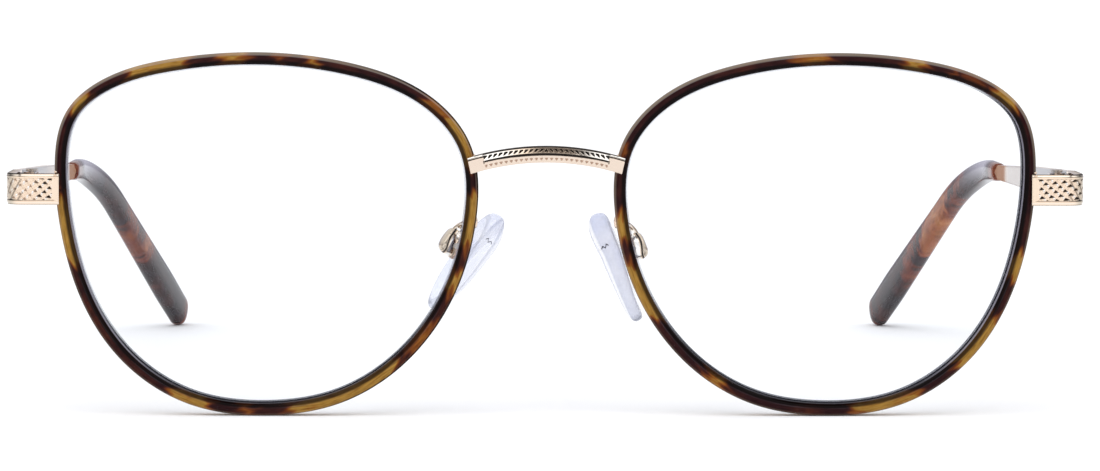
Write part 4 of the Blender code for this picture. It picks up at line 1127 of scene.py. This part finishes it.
        # Painted shade along the frame, the crease, the long edges and two patches at the corner; painted
        # highlight strips along the facets.
        frame_line = bump(up, low - 0.02, 0.06, 0.05) + 0.5 * bump(up, high + 0.03, 0.03, 0.05)
        frame_line = frame_line * smoothstep(run, self.plain_end * 0.4, self.plain_end)
        crease = bump(up, self.height - self.top_facet, 0.05, 0.05)
        ends = np.clip(0.35 + smoothstep(run, 3.6, 5.2) + 0.5 * fade(run, 0.3, 1.5), 0.0, 1.0)
        rim_line = bump(up, self.height - 0.02, 0.08 + 0.05 * corner, 0.05)
        foot_line = bump(up, 0.04, 0.06, 0.05)
        patch = bump(run, 5.9, 0.25, 0.9) * (bump(up, 0.62, 0.10, 0.16) + bump(up, 3.80, 0.12, 0.12))
        strip = 0.5 * bump(up, self.height - 0.22, 0.07, 0.08) + 0.4 * bump(up, 0.26, 0.06, 0.12)

        depth = panel * (0.05 + 0.012 * grooves + 0.15 * pit + 0.05 * score) + frame_line * 0.07 + crease * 0.02
        dark = panel * (pit + score * 0.6) + patch * 0.9 + frame_line * (0.35 + 0.4 * corner)
        dark = dark + crease * ends * 0.75 + rim_line * (0.85 + 0.15 * corner) + foot_line * 0.45
        shine = np.clip(strip + glint, 0.0, 1.0) * (1 - 0.7 * smoothstep(run, 4.8, 6.2))
        # Painted brown reflection in the grooves, round the pits and in fine specks.
        rust = grooves * 0.14 + bump(pit, 0.35, 0.1, 0.3) * 0.4 + smoothstep(speck, 0.2, 0.8) * 0.32
        return depth, np.clip(dark, 0.0, 1.0), shine, panel * np.clip(rust, 0.0, 1.0)

    def strip(self) -> bpy.types.Object:
        """The strip: a face with a facet along its top and bottom, carried along the middle line.

        A point lies at middle + normal * (thickness / 2 - facet - knurl) on the face, and on the flat
        back at middle - normal * thickness / 2.
        """
        middle, normal, at = self.middle_line()
        run = at[:, None]
        up = np.linspace(0.0, self.height, self.face_points)[None, :]
        facet = 0.16 * np.clip(1 - up / self.bottom_facet, 0, None)
        facet = facet + 0.085 * np.clip(1 - (self.height - up) / self.top_facet, 0, None)
        facet = facet + 0.07 * smoothstep(up, self.height - 0.09, self.height)
        depth, dark, shine, rust = self.knurl(run, up)
        face = self.thickness / 2 - self.clearance - facet - depth - 0.10 * fade(run, 0.0, 0.12)
        back = np.zeros((len(run), self.back_points))
        out = np.hstack([face, back - self.thickness / 2])
        heights = np.append(up[0], np.linspace(self.height - 0.1, 0.1, self.back_points))
        heights = heights + self.hinge.z - self.height / 2
        flat = middle[:, None, :] + out[..., None] * normal[:, None, :]
        rings = np.concatenate([flat, np.broadcast_to(heights, out.shape)[..., None]], axis=-1)
        # Painted grey reflection where the strip turns the corner away from the front.
        turned = smoothstep(normal[:, :1], 0.35, 0.85) * fade(normal[:, :1], 0.95, 1.0) * 0.7
        marks = {"pit": dark, "shine": shine, "rust": rust, "moss": np.broadcast_to(turned, face.shape)}
        marks = {name: np.hstack([mark, back]) for name, mark in marks.items()}
        return skin(self.side.word + "_knurled_lug", self.side.mirrored(rings), marks=marks, crease=24.0)

    def build(self, finishes: Finishes) -> None:
        """Makes the strip and the two solder beads where it meets the rim."""
        word = self.side.word
        settle(self.strip(), "front", finishes.gold, word + "_lug")
        for count, (x, up) in enumerate(self.beads):
            at = self.side.mirrored(np.array([self.rim_x + x, FRONT_Y + 0.35, self.hinge.z + up]))
            solder = bead(f"{word}_lug_solder_{count + 1}", at, (0.20, 0.4, 0.16), 14)
            settle(solder, "front", finishes.gold)


# ---------------------------------------------------------------- temples


TIP_CLOUDS: dict[Side, tuple[Cloud, ...]] = {
    Side.RIGHT: (
        Cloud(-0.06, 0.07, Tone.RUST), Cloud(0.46, 0.56, Tone.RUST, 0.03),
        Cloud(0.58, 0.66, Tone.RUST, -0.02),
    ),
    Side.LEFT: (
        Cloud(-0.05, 0.06, Tone.RUST), Cloud(0.30, 0.36, Tone.RUST, 0.03),
        Cloud(0.38, 0.58, Tone.ORANGE, 0.04), Cloud(0.62, 0.70, Tone.RUST, 0.05),
    ),
}  # fmt: skip


@dataclass(frozen=True)
class Temple:
    """One temple: a flat metal arm that narrows to a wire, and the acetate tip round that wire."""

    side: Side
    hinge: Hinge
    arm_thickness: float = 1.2
    arm_length: float = 68.0
    arm_heights: tuple[tuple[float, float], ...] = ((0.0, 4.0), (32.0, 3.4), (68.0, 2.0))
    neck_height: float = 2.05
    # Where the painted brown reflection on the inner face starts and is full, from the arm's end, and where the
    # painted lilac grey reflection fades.
    brown_from_end: tuple[float, float] = (14.0, 8.0)
    lilac_until: tuple[float, float] = (20.0, 45.0)
    core: float = 0.6
    bend_start: float = 76.0
    drop_bend: float = 23.8
    splay_bend: float = 13.8
    splay: tuple[float, float] = (math.radians(2.6), math.radians(14.4))
    drop: tuple[float, float] = (math.radians(2.0), math.radians(29.5))
    tip_height: float = 5.0
    tip_thickness: float = 2.8
    end_height: float = 4.6
    tip_shares: tuple[tuple[float, float, float], ...] = (
        (0.0, 0.50, 0.72), (0.10, 0.58, 0.80), (0.28, 0.70, 1.0), (0.50, 0.76, 1.0), (0.88, 1.0, 1.0),
        (1.0, 0.92, 1.0),
    )  # fmt: skip
    round_points: int = 48

    def angles(self, run: Array) -> tuple[Array, Array]:
        """Inward and downward angle at a run: straight, an even bend over the ear, then straight."""
        inwards = np.clip((run - self.bend_start) / self.splay_bend, 0.0, 1.0)
        down = np.clip((run - self.bend_start) / self.drop_bend, 0.0, 1.0)
        splay = self.splay[0] + (self.splay[1] - self.splay[0]) * inwards
        return splay, self.drop[0] + (self.drop[1] - self.drop[0]) * down

    def line(self) -> tuple[Array, Array]:
        """The temple's middle line, the running sum of its directions.

        Returns:
            Runs, (900,), and points, (900, 3).
        """
        longest = self.bend_start + self.drop_bend + self.hinge.z / math.sin(self.drop[1])
        run = np.linspace(0.0, longest, 900)
        splay, drop = self.angles(run)
        rates = np.column_stack([-np.sin(splay) * np.cos(drop), np.cos(splay) * np.cos(drop), -np.sin(drop)])
        steps = (rates[1:] + rates[:-1]) / 2 * np.diff(run)[:, None]
        outwards = self.hinge.arm_face + self.arm_thickness / 2
        first = np.append(self.hinge.plan(outwards, self.hinge.stop_gap / 2), self.hinge.z)
        return run, first + np.vstack([np.zeros(3), np.cumsum(steps, axis=0)])

    def rings(self, run_at: Array, height: Array | float, thickness: Array | float, power: float) -> Array:
        """Superellipse sections square to the temple.

        A point is centre + thickness / 2 * c * out + height / 2 * s * up, with (c, s) on a superellipse.

        Args:
            run_at: Where each section lies, (rings,).
            height: Its height there, (rings,) or one for all.
            thickness: Its thickness there, (rings,) or one for all.
            power: The superellipse's power.

        Returns:
            The rings, (rings, round_points, 3).
        """
        run, points = self.line()
        centre = at_runs(run_at, run, points)
        splay, drop = self.angles(run_at)
        out = np.column_stack([np.cos(splay), np.sin(splay), 0 * splay])
        up = np.column_stack([-np.sin(splay) * np.sin(drop), np.cos(splay) * np.sin(drop), np.cos(drop)])
        loop = superellipse(self.round_points, power)
        sizes = np.array([np.broadcast_to(size, run_at.shape) for size in (thickness, height)])[..., None] / 2
        across, tall = loop[:, 0] * sizes[0], loop[:, 1] * sizes[1]
        rings = centre[:, None] + across[..., None] * out[:, None] + tall[..., None] * up[:, None]
        return self.side.mirrored(rings)

    def arm(self) -> bpy.types.Object:
        """The arm, whose height tapers and whose end rounds down to the wire in the tip.

        Its inner face and top get a painted lilac grey reflection near the hinge, and the inner face a
        painted brown reflection near the tip; where either lies the metal is made matt, so that the
        painted colour shows.
        """
        length, wire = self.arm_length, 2 * self.core
        run = np.append([0.0, 0.02, 0.08], np.linspace(0.2, length - 1.4, 70))
        height = np.interp(run, *np.transpose(self.arm_heights))
        ease = np.where(run < 0.1, 0.94 + 0.6 * run, 1.0)
        neck = np.linspace(0.0, 1.0, 12)
        neck_run = length - 1.3 + neck * 1.1
        neck_height = self.neck_height + (wire - self.neck_height) * smoothstep(neck, 0.25, 1.0)
        wire_run = length + np.linspace(0.2, 4.0, 6)
        parts = [
            self.rings(run, height * ease, self.arm_thickness * ease, 7.0),
            self.rings(neck_run, neck_height, self.arm_thickness, 4.0),
            self.rings(wire_run, wire, wire, 2.0),
        ]
        runs = np.concatenate([run, neck_run, wire_run])[:, None]
        loop = superellipse(self.round_points, 7.0)[None]
        inner, top = loop[..., 0] < -0.8, loop[..., 1] > 0.8
        # Painted brown and lilac grey reflections, with matt metal under them.
        rust = inner * smoothstep(runs, *(length - end for end in self.brown_from_end))
        away = smoothstep(runs, *self.lilac_until)
        cool = np.maximum(inner * (1 - 0.3 * away) * (1 - rust), top * 0.7 * (1 - away))
        marks = {"cool": cool, "rust": rust, "matt": np.maximum(cool, rust)}
        return skin(self.side.word + "_flat_arm", np.concatenate(parts), marks=marks, crease=30.0)

    def tip(self) -> bpy.types.Object:
        """The tip, which swells over the ear and ends as a half ellipse that rests on the table."""
        run, points = self.line()
        radius = self.end_height / 2 + 0.01
        end = float(np.interp(-radius, -points[:, 2], run)) - 0.05
        mouth = self.arm_length + self.core + 0.2
        body = np.linspace(mouth, end, 120)
        kernel = np.hanning(17)
        wide = np.linspace(-0.1, 1.1, 145)
        place, *sizes = np.transpose(self.tip_shares)
        height, thick = (
            np.convolve(np.pad(np.interp(wide, place, size), 8, mode="edge"), kernel / kernel.sum(), "valid")
            for size in sizes
        )
        share = (body - mouth) / (end - mouth)
        lead = 1.0 - 0.10 * fade(body - mouth, 0.0, 0.35)
        turn = np.linspace(0.0, math.pi / 2 * 0.985, 22)[1:]
        heights, thicks = (
            size * np.append(np.interp(share, wide, shares) * lead, shares_end * np.cos(turn))
            for size, shares, shares_end in (
                (self.tip_height, height, np.interp(1.0, wide, height)),
                (self.tip_thickness, thick, np.interp(1.0, wide, thick)),
            )
        )
        runs = np.append(body, end + radius * np.sin(turn))
        along = ((runs - mouth) / (end + radius - mouth))[:, None]
        loop = superellipse(self.round_points, 2.6)[None]
        inwards, around = -loop[..., 0], loop[..., 1]
        # Painted reflection: a pale lilac haze on the top and inner side near the front of the tip.
        haze = smoothstep(inwards, -0.6, 0.5) * smoothstep(around, -1.1, 0.7)
        marks = {
            "tone": clouds_on(TIP_CLOUDS[self.side], along * 0.98, around, 0.035),
            "run": along * 0.5,
            "across": around,
            "pale": haze * fade(along, 0.12, 0.36) * smoothstep(along, 0.06, 0.12),
        }
        return skin(self.side.word + "_tortoise_tip", self.rings(runs, heights, thicks, 2.6), marks=marks)

    def build(self, finishes: Finishes) -> None:
        """Makes and dresses the arm and the tip."""
        body = self.side.word + "_temple"
        settle(self.arm(), body, finishes.gold, body + "_arm")
        settle(self.tip(), body, finishes.tip, body + "_tip")


# ---------------------------------------------------------------- nose pads


@dataclass(frozen=True)
class NosePad:
    """One pad with its box and its wire arm. Each side's pad is bent to its own set."""

    side: Side
    outline: Outline
    axis_out: float
    axis_height: float
    lean: float
    splay: float
    below_axis: float
    # How dark the painted shade line round the pad's ring is.
    rim_line: float
    haze: float
    aside: float
    core_at: tuple[float, float, float]
    axis_back: float = 8.4
    length: float = 14.8
    width: float = 7.2
    thickness: float = 2.85
    back: float = 1.5
    egg: float = 0.06
    thinned: float = 0.28
    swollen: float = 0.11
    box_height: float = 3.7
    box_width: float = 2.8
    wire_height: float = 24.3
    wire_radii: tuple[float, float] = (0.42, 0.92)
    profile: tuple[tuple[float, float], ...] = (
        (0.02, 0.0), (0.30, 0.0), (0.62, 0.0), (0.86, 0.0), (0.94, 0.02), (0.985, 0.07), (1.0, 0.15),
        (1.0, 0.35), (0.998, 0.50), (0.985, 0.62), (0.965, 0.71), (0.93, 0.79), (0.885, 0.855), (0.84, 0.90),
        (0.80, 0.925), (0.76, 0.935), (0.66, 0.955), (0.52, 0.975), (0.36, 0.99), (0.18, 0.998), (0.02, 1.0),
    )  # fmt: skip
    core_line: tuple[tuple[float, float, float], ...] = (
        (0.0, 0.05, -0.55), (0.0, 0.30, -0.3), (0.02, -0.15, -0.05), (0.05, 0.18, 0.2), (0.18, -0.08, 0.5),
    )  # fmt: skip
    core_radius: float = 0.09
    box_profile: tuple[tuple[float, float], ...] = (
        (0.10, -1.74), (0.45, -1.71), (0.68, -1.60), (0.82, -1.42), (0.92, -1.14), (0.97, -0.80),
        (0.99, -0.40), (1.0, 0.20), (1.0, 0.70), (0.99, 0.86), (0.96, 0.96), (0.90, 1.00), (0.80, 0.99),
        (0.77, 0.92), (0.76, 0.60), (0.75, -0.80), (0.62, -1.02), (0.3, -1.08), (0.05, -1.08),
    )  # fmt: skip
    box_rings: int = 90

    def placed(self, local: Array) -> Array:
        """Turns points from the pad's own axes, across, up and out of its face, to the row frame."""
        lean, splay = math.radians(self.lean), math.radians(self.splay)
        inwards = np.array([-math.cos(lean), 0.0, -math.sin(lean)])
        back = np.array([0.0, 1.0, 0.0])
        up = np.array([-math.sin(lean), 0.0, math.cos(lean)])
        face = math.cos(splay) * inwards + math.sin(splay) * back
        across = math.cos(splay) * back - math.sin(splay) * inwards
        axis = np.array([self.axis_out, FRONT_Y + self.axis_back, self.axis_height])
        return self.side.mirrored(axis + local @ np.vstack([across, up, face]))

    def pad(self) -> bpy.types.Object:
        """The pad: egg-shaped rings, from a flat back over a full side and a bevelled border to a dome.

        A ring of share s and rise r holds the points (s w/2 sin a (1 - e cos a), s l/2 cos a - b, back +
        r t), where a goes round, e is the egg's share and b the drop below the axis. The top end is rounded
        as a half circle of the thickness, the lower end less so, and t thins towards it.
        """
        share, rise = resampled(np.array(self.profile), 61)[..., None]
        angle = 2 * math.pi * np.arange(96)[None] / 96
        across = share * self.width / 2 * np.sin(angle) * (1 - self.egg * np.cos(angle))
        along = share * self.length / 2 * np.cos(angle) - self.below_axis
        place = along / (self.length / 2)
        thin = self.thinned * smoothstep(-place, -0.2, 1.0)
        swell = self.swollen * smoothstep(place, 0.0, 0.5)
        out = self.back + self.thickness * (rise * (1 - thin + swell) + thin * self.aside)
        fall = self.thickness / 2 * (1 - np.sqrt(np.clip(1 - (2 * rise - 1) ** 2, 0.0, 1.0)))
        along = along + (0.22 - fall * 0.8) * smoothstep(place, 0.30, 1.0)
        along = along + fall * smoothstep(-place, 0.45, 1.15) * 0.35
        # Painted shade: dark lines on the ring between side and dome, round the back edge and at the low end;
        # the border gets a painted white highlight.
        line = bump(rise, 0.66, 0.05, 0.06) * self.rim_line
        line = line + bump(rise, 0.03, 0.04, 0.06) * (share > 0.9) * 0.7
        low = smoothstep(-share * np.cos(angle), 0.90, 0.945) * (1.2 - self.rim_line)
        marks = {
            "border": bump(share, 0.90, 0.05, 0.05) * (rise > 0.5),
            "line": np.clip(line * 0.8 + low * 0.9, 0.0, 1.0),
            "cap": smoothstep(along / (self.length / 2), 0.30, 0.62),
            "haze": np.full(share.shape, self.haze),
        }
        rings = self.placed(np.stack([across, along, out], axis=-1))
        return skin(self.side.word + "_silicone_pad", rings, marks=marks, crease=80.0)

    def core_end(self) -> bpy.types.Object:
        """The bent end of the pad's core, which shows as a small dark zigzag through the silicone."""
        line = resampled(np.array(self.core_line) + self.core_at, 33).T
        circle = np.pad(superellipse(10, 2.0), ((0, 0), (0, 1)))
        rings = self.placed(line[:, None] + self.core_radius * circle[None])
        return skin(self.side.word + "_pad_core_end", rings)

    def box(self) -> bpy.types.Object:
        """The box: boxy rings from a domed back out to the mouth and in again to the cup's floor."""
        share, out = resampled(np.array(self.box_profile), self.box_rings)[..., None]
        loop = superellipse(64, 2.6)
        flat = share[..., None] * (self.box_width / 2, self.box_height / 2) * loop[None]
        local = np.concatenate([flat, np.broadcast_to(out[..., None], (*flat.shape[:2], 1))], axis=-1)
        number = np.arange(self.box_rings)[:, None]
        # Painted shade and reflections: dark lines at the mouth and round the back, a dark inside, dark
        # streaks, a brown band, a highlight band and a grey outer rim.
        outer, inside = number < 56, smoothstep(number, 66, 72) * 0.6
        mouth = bump(out, 0.93, 0.05, 0.08) + 0.5 * bump(out, -1.15, 0.05, 0.12)
        wave = out + 0.25 * np.sin(2.6 * loop[None, :, 1] * share + 0.7)
        dark_lines = ((1.0, -1.05, 0.12, 0.10), (0.9, 0.12, 0.07, 0.10), (0.6, 0.66, 0.03, 0.08))
        streak = sum(weight * bump(wave, *line) for weight, *line in dark_lines)
        marks = {
            "pit": np.clip(mouth * 0.7 + inside + outer * streak, 0.0, 1.0),
            "rust": outer * bump(wave, 0.38, 0.14, 0.14) * 0.8,
            "shine": outer * bump(wave, -0.48, 0.28, 0.14) * 0.9,
            "moss": outer * fade(wave, -1.35, -1.15) * 0.5,
        }
        return skin(self.side.word + "_polished_pad_box", self.placed(local), marks=marks, crease=60.0)

    def arm(self) -> bpy.types.Object:
        """The wire arm: a round section along a cubic Bezier that flares as it meets the box."""
        start_x = self.outline.nasal_x(self.wire_height) + 0.1
        start = self.outline.on_front(np.array([[start_x, self.wire_height]]), 2.95 + 0.3)[0]
        top = self.box_height / 2 - 0.25
        end, above, origin = self.side.mirrored(self.placed(np.array([[0, top, -0.45], [0, 1, 0], [0, 0, 0]])))
        span = FRONT_Y + self.axis_back - start[1]
        leave = start + span * np.array([0.45, 0.55, 0.0])
        arrive = end + (above - origin) * span * 0.34
        t = np.linspace(0.0, 1.0, 60)[:, None]
        line = (1 - t) ** 3 * start + 3 * t * (1 - t) ** 2 * leave + 3 * t**2 * (1 - t) * arrive + t**3 * end
        along = np.gradient(line, axis=0)
        along /= np.linalg.norm(along, axis=1)[:, None]
        wide = np.cross(along, np.array([0.0, 1.0, 0.0]))
        wide /= np.linalg.norm(wide, axis=1)[:, None]
        deep = np.cross(along, wide) * (1.0 - 0.45 * smoothstep(t, 0.2, 0.8))
        loop = superellipse(32, 2.4)
        thin, thick = self.wire_radii
        radius = (thin + (thick - thin) * smoothstep(t, 0.45, 1.0))[..., None]
        around = loop[None, :, :1] * wide[:, None] + loop[None, :, 1:] * deep[:, None]
        rings = line[:, None] + radius * around
        # Painted shade in dark streaks along the arm, and a painted highlight along one side between them.
        turn = np.degrees(np.arctan2(loop[:, 1], loop[:, 0]))[None, :]
        streak = bump(np.abs(turn), 150.0, 14.0, 24.0) + bump(np.abs(turn), 30.0, 9.0, 18.0)
        marks = {"pit": np.clip(streak, 0, 1) * 0.85, "shine": bump(turn, 90.0, 30.0, 40.0)}
        return skin(self.side.word + "_flared_pad_arm", self.side.mirrored(rings), marks=marks)

    def solder(self) -> bpy.types.Object:
        """The solder bead that holds the arm to the band, on the nose side of the rim."""
        z = self.wire_height + 0.5
        at = self.outline.on_front(np.array([[self.outline.nasal_x(z) + 0.05, z]]), 2.6)[0]
        return bead(self.side.word + "_pad_solder", self.side.mirrored(at), (0.30, 0.7, 0.75))

    def build(self, finishes: Finishes) -> None:
        """Makes and dresses the pad, its box, its arm and the solder."""
        word = self.side.word
        settle(self.pad(), word + "_nose_pad", finishes.silicone, word + "_nose_pad")
        settle(self.core_end(), word + "_nose_pad", finishes.dark)
        settle(self.box(), "front", finishes.gold, word + "_pad_box")
        settle(self.arm(), "front", finishes.gold, word + "_pad_arm")
        settle(self.solder(), "front", finishes.gold)


# ---------------------------------------------------------------- CAD nodes that stay


@dataclass(frozen=True)
class Fittings:
    """The hinges, rim locks, screws and inserts, whose CAD shapes stay."""

    gold: tuple[str, ...] = ("lock_upper", "lock_lower")
    hinge: tuple[str, ...] = ("front_hinge", "temple_hinge")
    steel: tuple[str, ...] = ("lock_screw", "hinge_screw", "pad_screw")
    silicone: tuple[str, ...] = ("pad_insert",)

    def dress(self, finishes: Finishes) -> None:
        """Gives each node that stays the finish of its group."""
        for side in Side:
            for group in ("gold", "hinge", "steel", "silicone"):
                material = getattr(finishes, group).material
                for name in getattr(self, group):
                    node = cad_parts[f"{side.word}_{name}"]
                    node.data.materials.clear()
                    node.data.materials.append(material)
                    LOG.info("%s: CAD shape, %s", node.name, material.name)


# ---------------------------------------------------------------- studio


@dataclass(frozen=True)
class Studio:
    """A white table in a soft light tent, and the camera at the photograph's angle, in metres."""

    camera_at: tuple[float, float, float] = (-0.0148, -0.869279, 0.0802)
    yaw: float = math.radians(1.095)
    pitch: float = math.radians(4.07)
    roll: float = math.radians(0.134)
    lens: float = 205.37
    sensor: float = 36.0
    clip: tuple[float, float] = (0.05, 50.0)
    floor_half: float = 8.0
    floor_z: float = -0.02 * MM
    ambient: Colour = (0.72, 0.72, 0.72 * 1.01)
    back_wall: Colour = (0.95, 0.96, 0.98)
    lilac_wall: Colour = (0.56, 0.55, 0.61)
    panel: Colour = (1.45, 1.44, 1.42)
    side_strips: Colour = (0.10, 0.085, 0.08)
    front_flag: Colour = (0.14, 0.13, 0.13)
    sun: float = 1.75
    sun_angle: float = math.radians(75)
    sun_turn: tuple[float, float, float] = (math.radians(28), math.radians(-10), 0.0)

    def floor(self) -> None:
        """The table: a smooth white plane just under the object, and no part of it."""
        mesh = bpy.data.meshes.new("table")
        half = self.floor_half
        corners = ((-half, -half), (half, -half), (half, half), (-half, half))
        mesh.from_pydata([(*corner, self.floor_z) for corner in corners], [], [(0, 1, 2, 3)])
        table = bpy.data.objects.new("table", mesh)
        bpy.context.scene.collection.objects.link(table)
        g = Graph(bpy.data.materials.new("white_table"))
        shade = g.noise(g.place(), 3.0, 2.0)
        colour = g.blend(shade, (0.93, 0.94, 0.96), (0.94, 0.945, 0.96))
        mesh.materials.append(g.finish(g.principled(colour, 0.75, {"Specular IOR Level": 0.1})))

    def world(self) -> None:
        """The light tent: plain to diffuse rays, and to glossy ones a white tent with a few dark flags.

        A flag over the front darkens the middle of the bridge's roof, one strip to each side puts a dark
        band on rounded metal, and a lilac wall stands low at the back.
        """
        world = bpy.data.worlds.new("light_tent")
        bpy.context.scene.world = world
        g = Graph(world)
        at = g.value("ShaderNodeTexCoord", output="Generated")
        parts = g.node("ShaderNodeSeparateXYZ", None, {0: at})
        x, y, z = (Signal(g, parts.outputs[k]) for k in range(3))
        panel = z.step(0.22, 0.40) * y.step(0.2, -0.1)
        flag = z.step(0.58, 0.70) * (x - 0.107).size().step(0.25, 0.14) * y.step(0.25, 0.05)
        strip = x.size().step(0.36, 0.43) * x.size().step(0.66, 0.56) * y.step(0.15, -0.1) * z.step(0.75, 0.6)
        low = z.step(0.35, 0.12) * y.step(0.0, 0.3)
        tent = g.blend(low, self.back_wall, self.lilac_wall)
        tent = g.blend(panel, tent, self.panel)
        tent = g.blend(strip * 0.85, tent, self.side_strips)
        tent = g.blend(flag, tent, self.front_flag)
        path = g.node("ShaderNodeLightPath")
        glossy, camera, through = (
            Signal(g, path.outputs[f"Is {kind} Ray"]) for kind in ("Glossy", "Camera", "Transmission")
        )
        plain = g.math("MAXIMUM", camera, through)
        colour = g.blend(glossy, self.ambient, tent)
        colour = g.blend(plain, colour, (1.0, 1.0, 1.0))
        g.finish(g.value("ShaderNodeBackground", None, {"Color": colour, "Strength": 1.0}))

    def light(self) -> None:
        """A very soft sun from above the front, which evenly lights the table and casts no highlight."""
        sun = bpy.data.lights.new("soft_sun", "SUN")
        sun.energy = self.sun
        sun.angle = self.sun_angle
        made = bpy.data.objects.new("soft_sun", sun)
        bpy.context.scene.collection.objects.link(made)
        made.rotation_euler = self.sun_turn
        made.visible_glossy = False

    def camera(self) -> None:
        """The camera, which looks slightly down at the front."""
        data = bpy.data.cameras.new("camera")
        data.lens = self.lens
        data.sensor_width = self.sensor
        data.clip_start, data.clip_end = self.clip
        made = bpy.data.objects.new("camera", data)
        bpy.context.scene.collection.objects.link(made)
        turn = Matrix.Rotation(-self.yaw, 4, "Z") @ Matrix.Rotation(math.pi / 2 - self.pitch, 4, "X")
        made.matrix_world = Matrix.Translation(self.camera_at) @ turn @ Matrix.Rotation(self.roll, 4, "Z")
        bpy.context.scene.camera = made

    def build(self) -> None:
        """Sets the table, the light and the camera."""
        self.floor()
        self.world()
        self.light()
        self.camera()
        bpy.context.scene.view_settings.view_transform = "Standard"


def main() -> None:
    """Builds each sub-assembly in order."""
    logging.basicConfig(level=logging.INFO, format="%(name)s: %(message)s")
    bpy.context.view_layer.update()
    finishes = Finishes()
    outline, hinge = Outline(), Hinge()
    for side in Side:
        EyeRim(side, outline).build(finishes)
        Lug(side, outline, hinge).build(finishes)
        Temple(side, hinge).build(finishes)
    Bridge(outline).build(finishes)
    NosePad(
        Side.LEFT, outline, axis_out=11.4, axis_height=21.1, lean=22.5, splay=3.0, below_axis=1.65,
        rim_line=0.15, haze=0.58, aside=0.8, core_at=(-3.12, 1.7, 3.2),
    ).build(finishes)  # fmt: skip
    NosePad(
        Side.RIGHT, outline, axis_out=11.7, axis_height=21.6, lean=35.0, splay=14.0, below_axis=1.25,
        rim_line=0.8, haze=0.20, aside=0.2, core_at=(-1.9, 2.85, 3.1),
    ).build(finishes)  # fmt: skip
    Fittings().dress(finishes)
    Studio().build()
    bpy.context.view_layer.update()


if __name__ == "__main__":
    main()
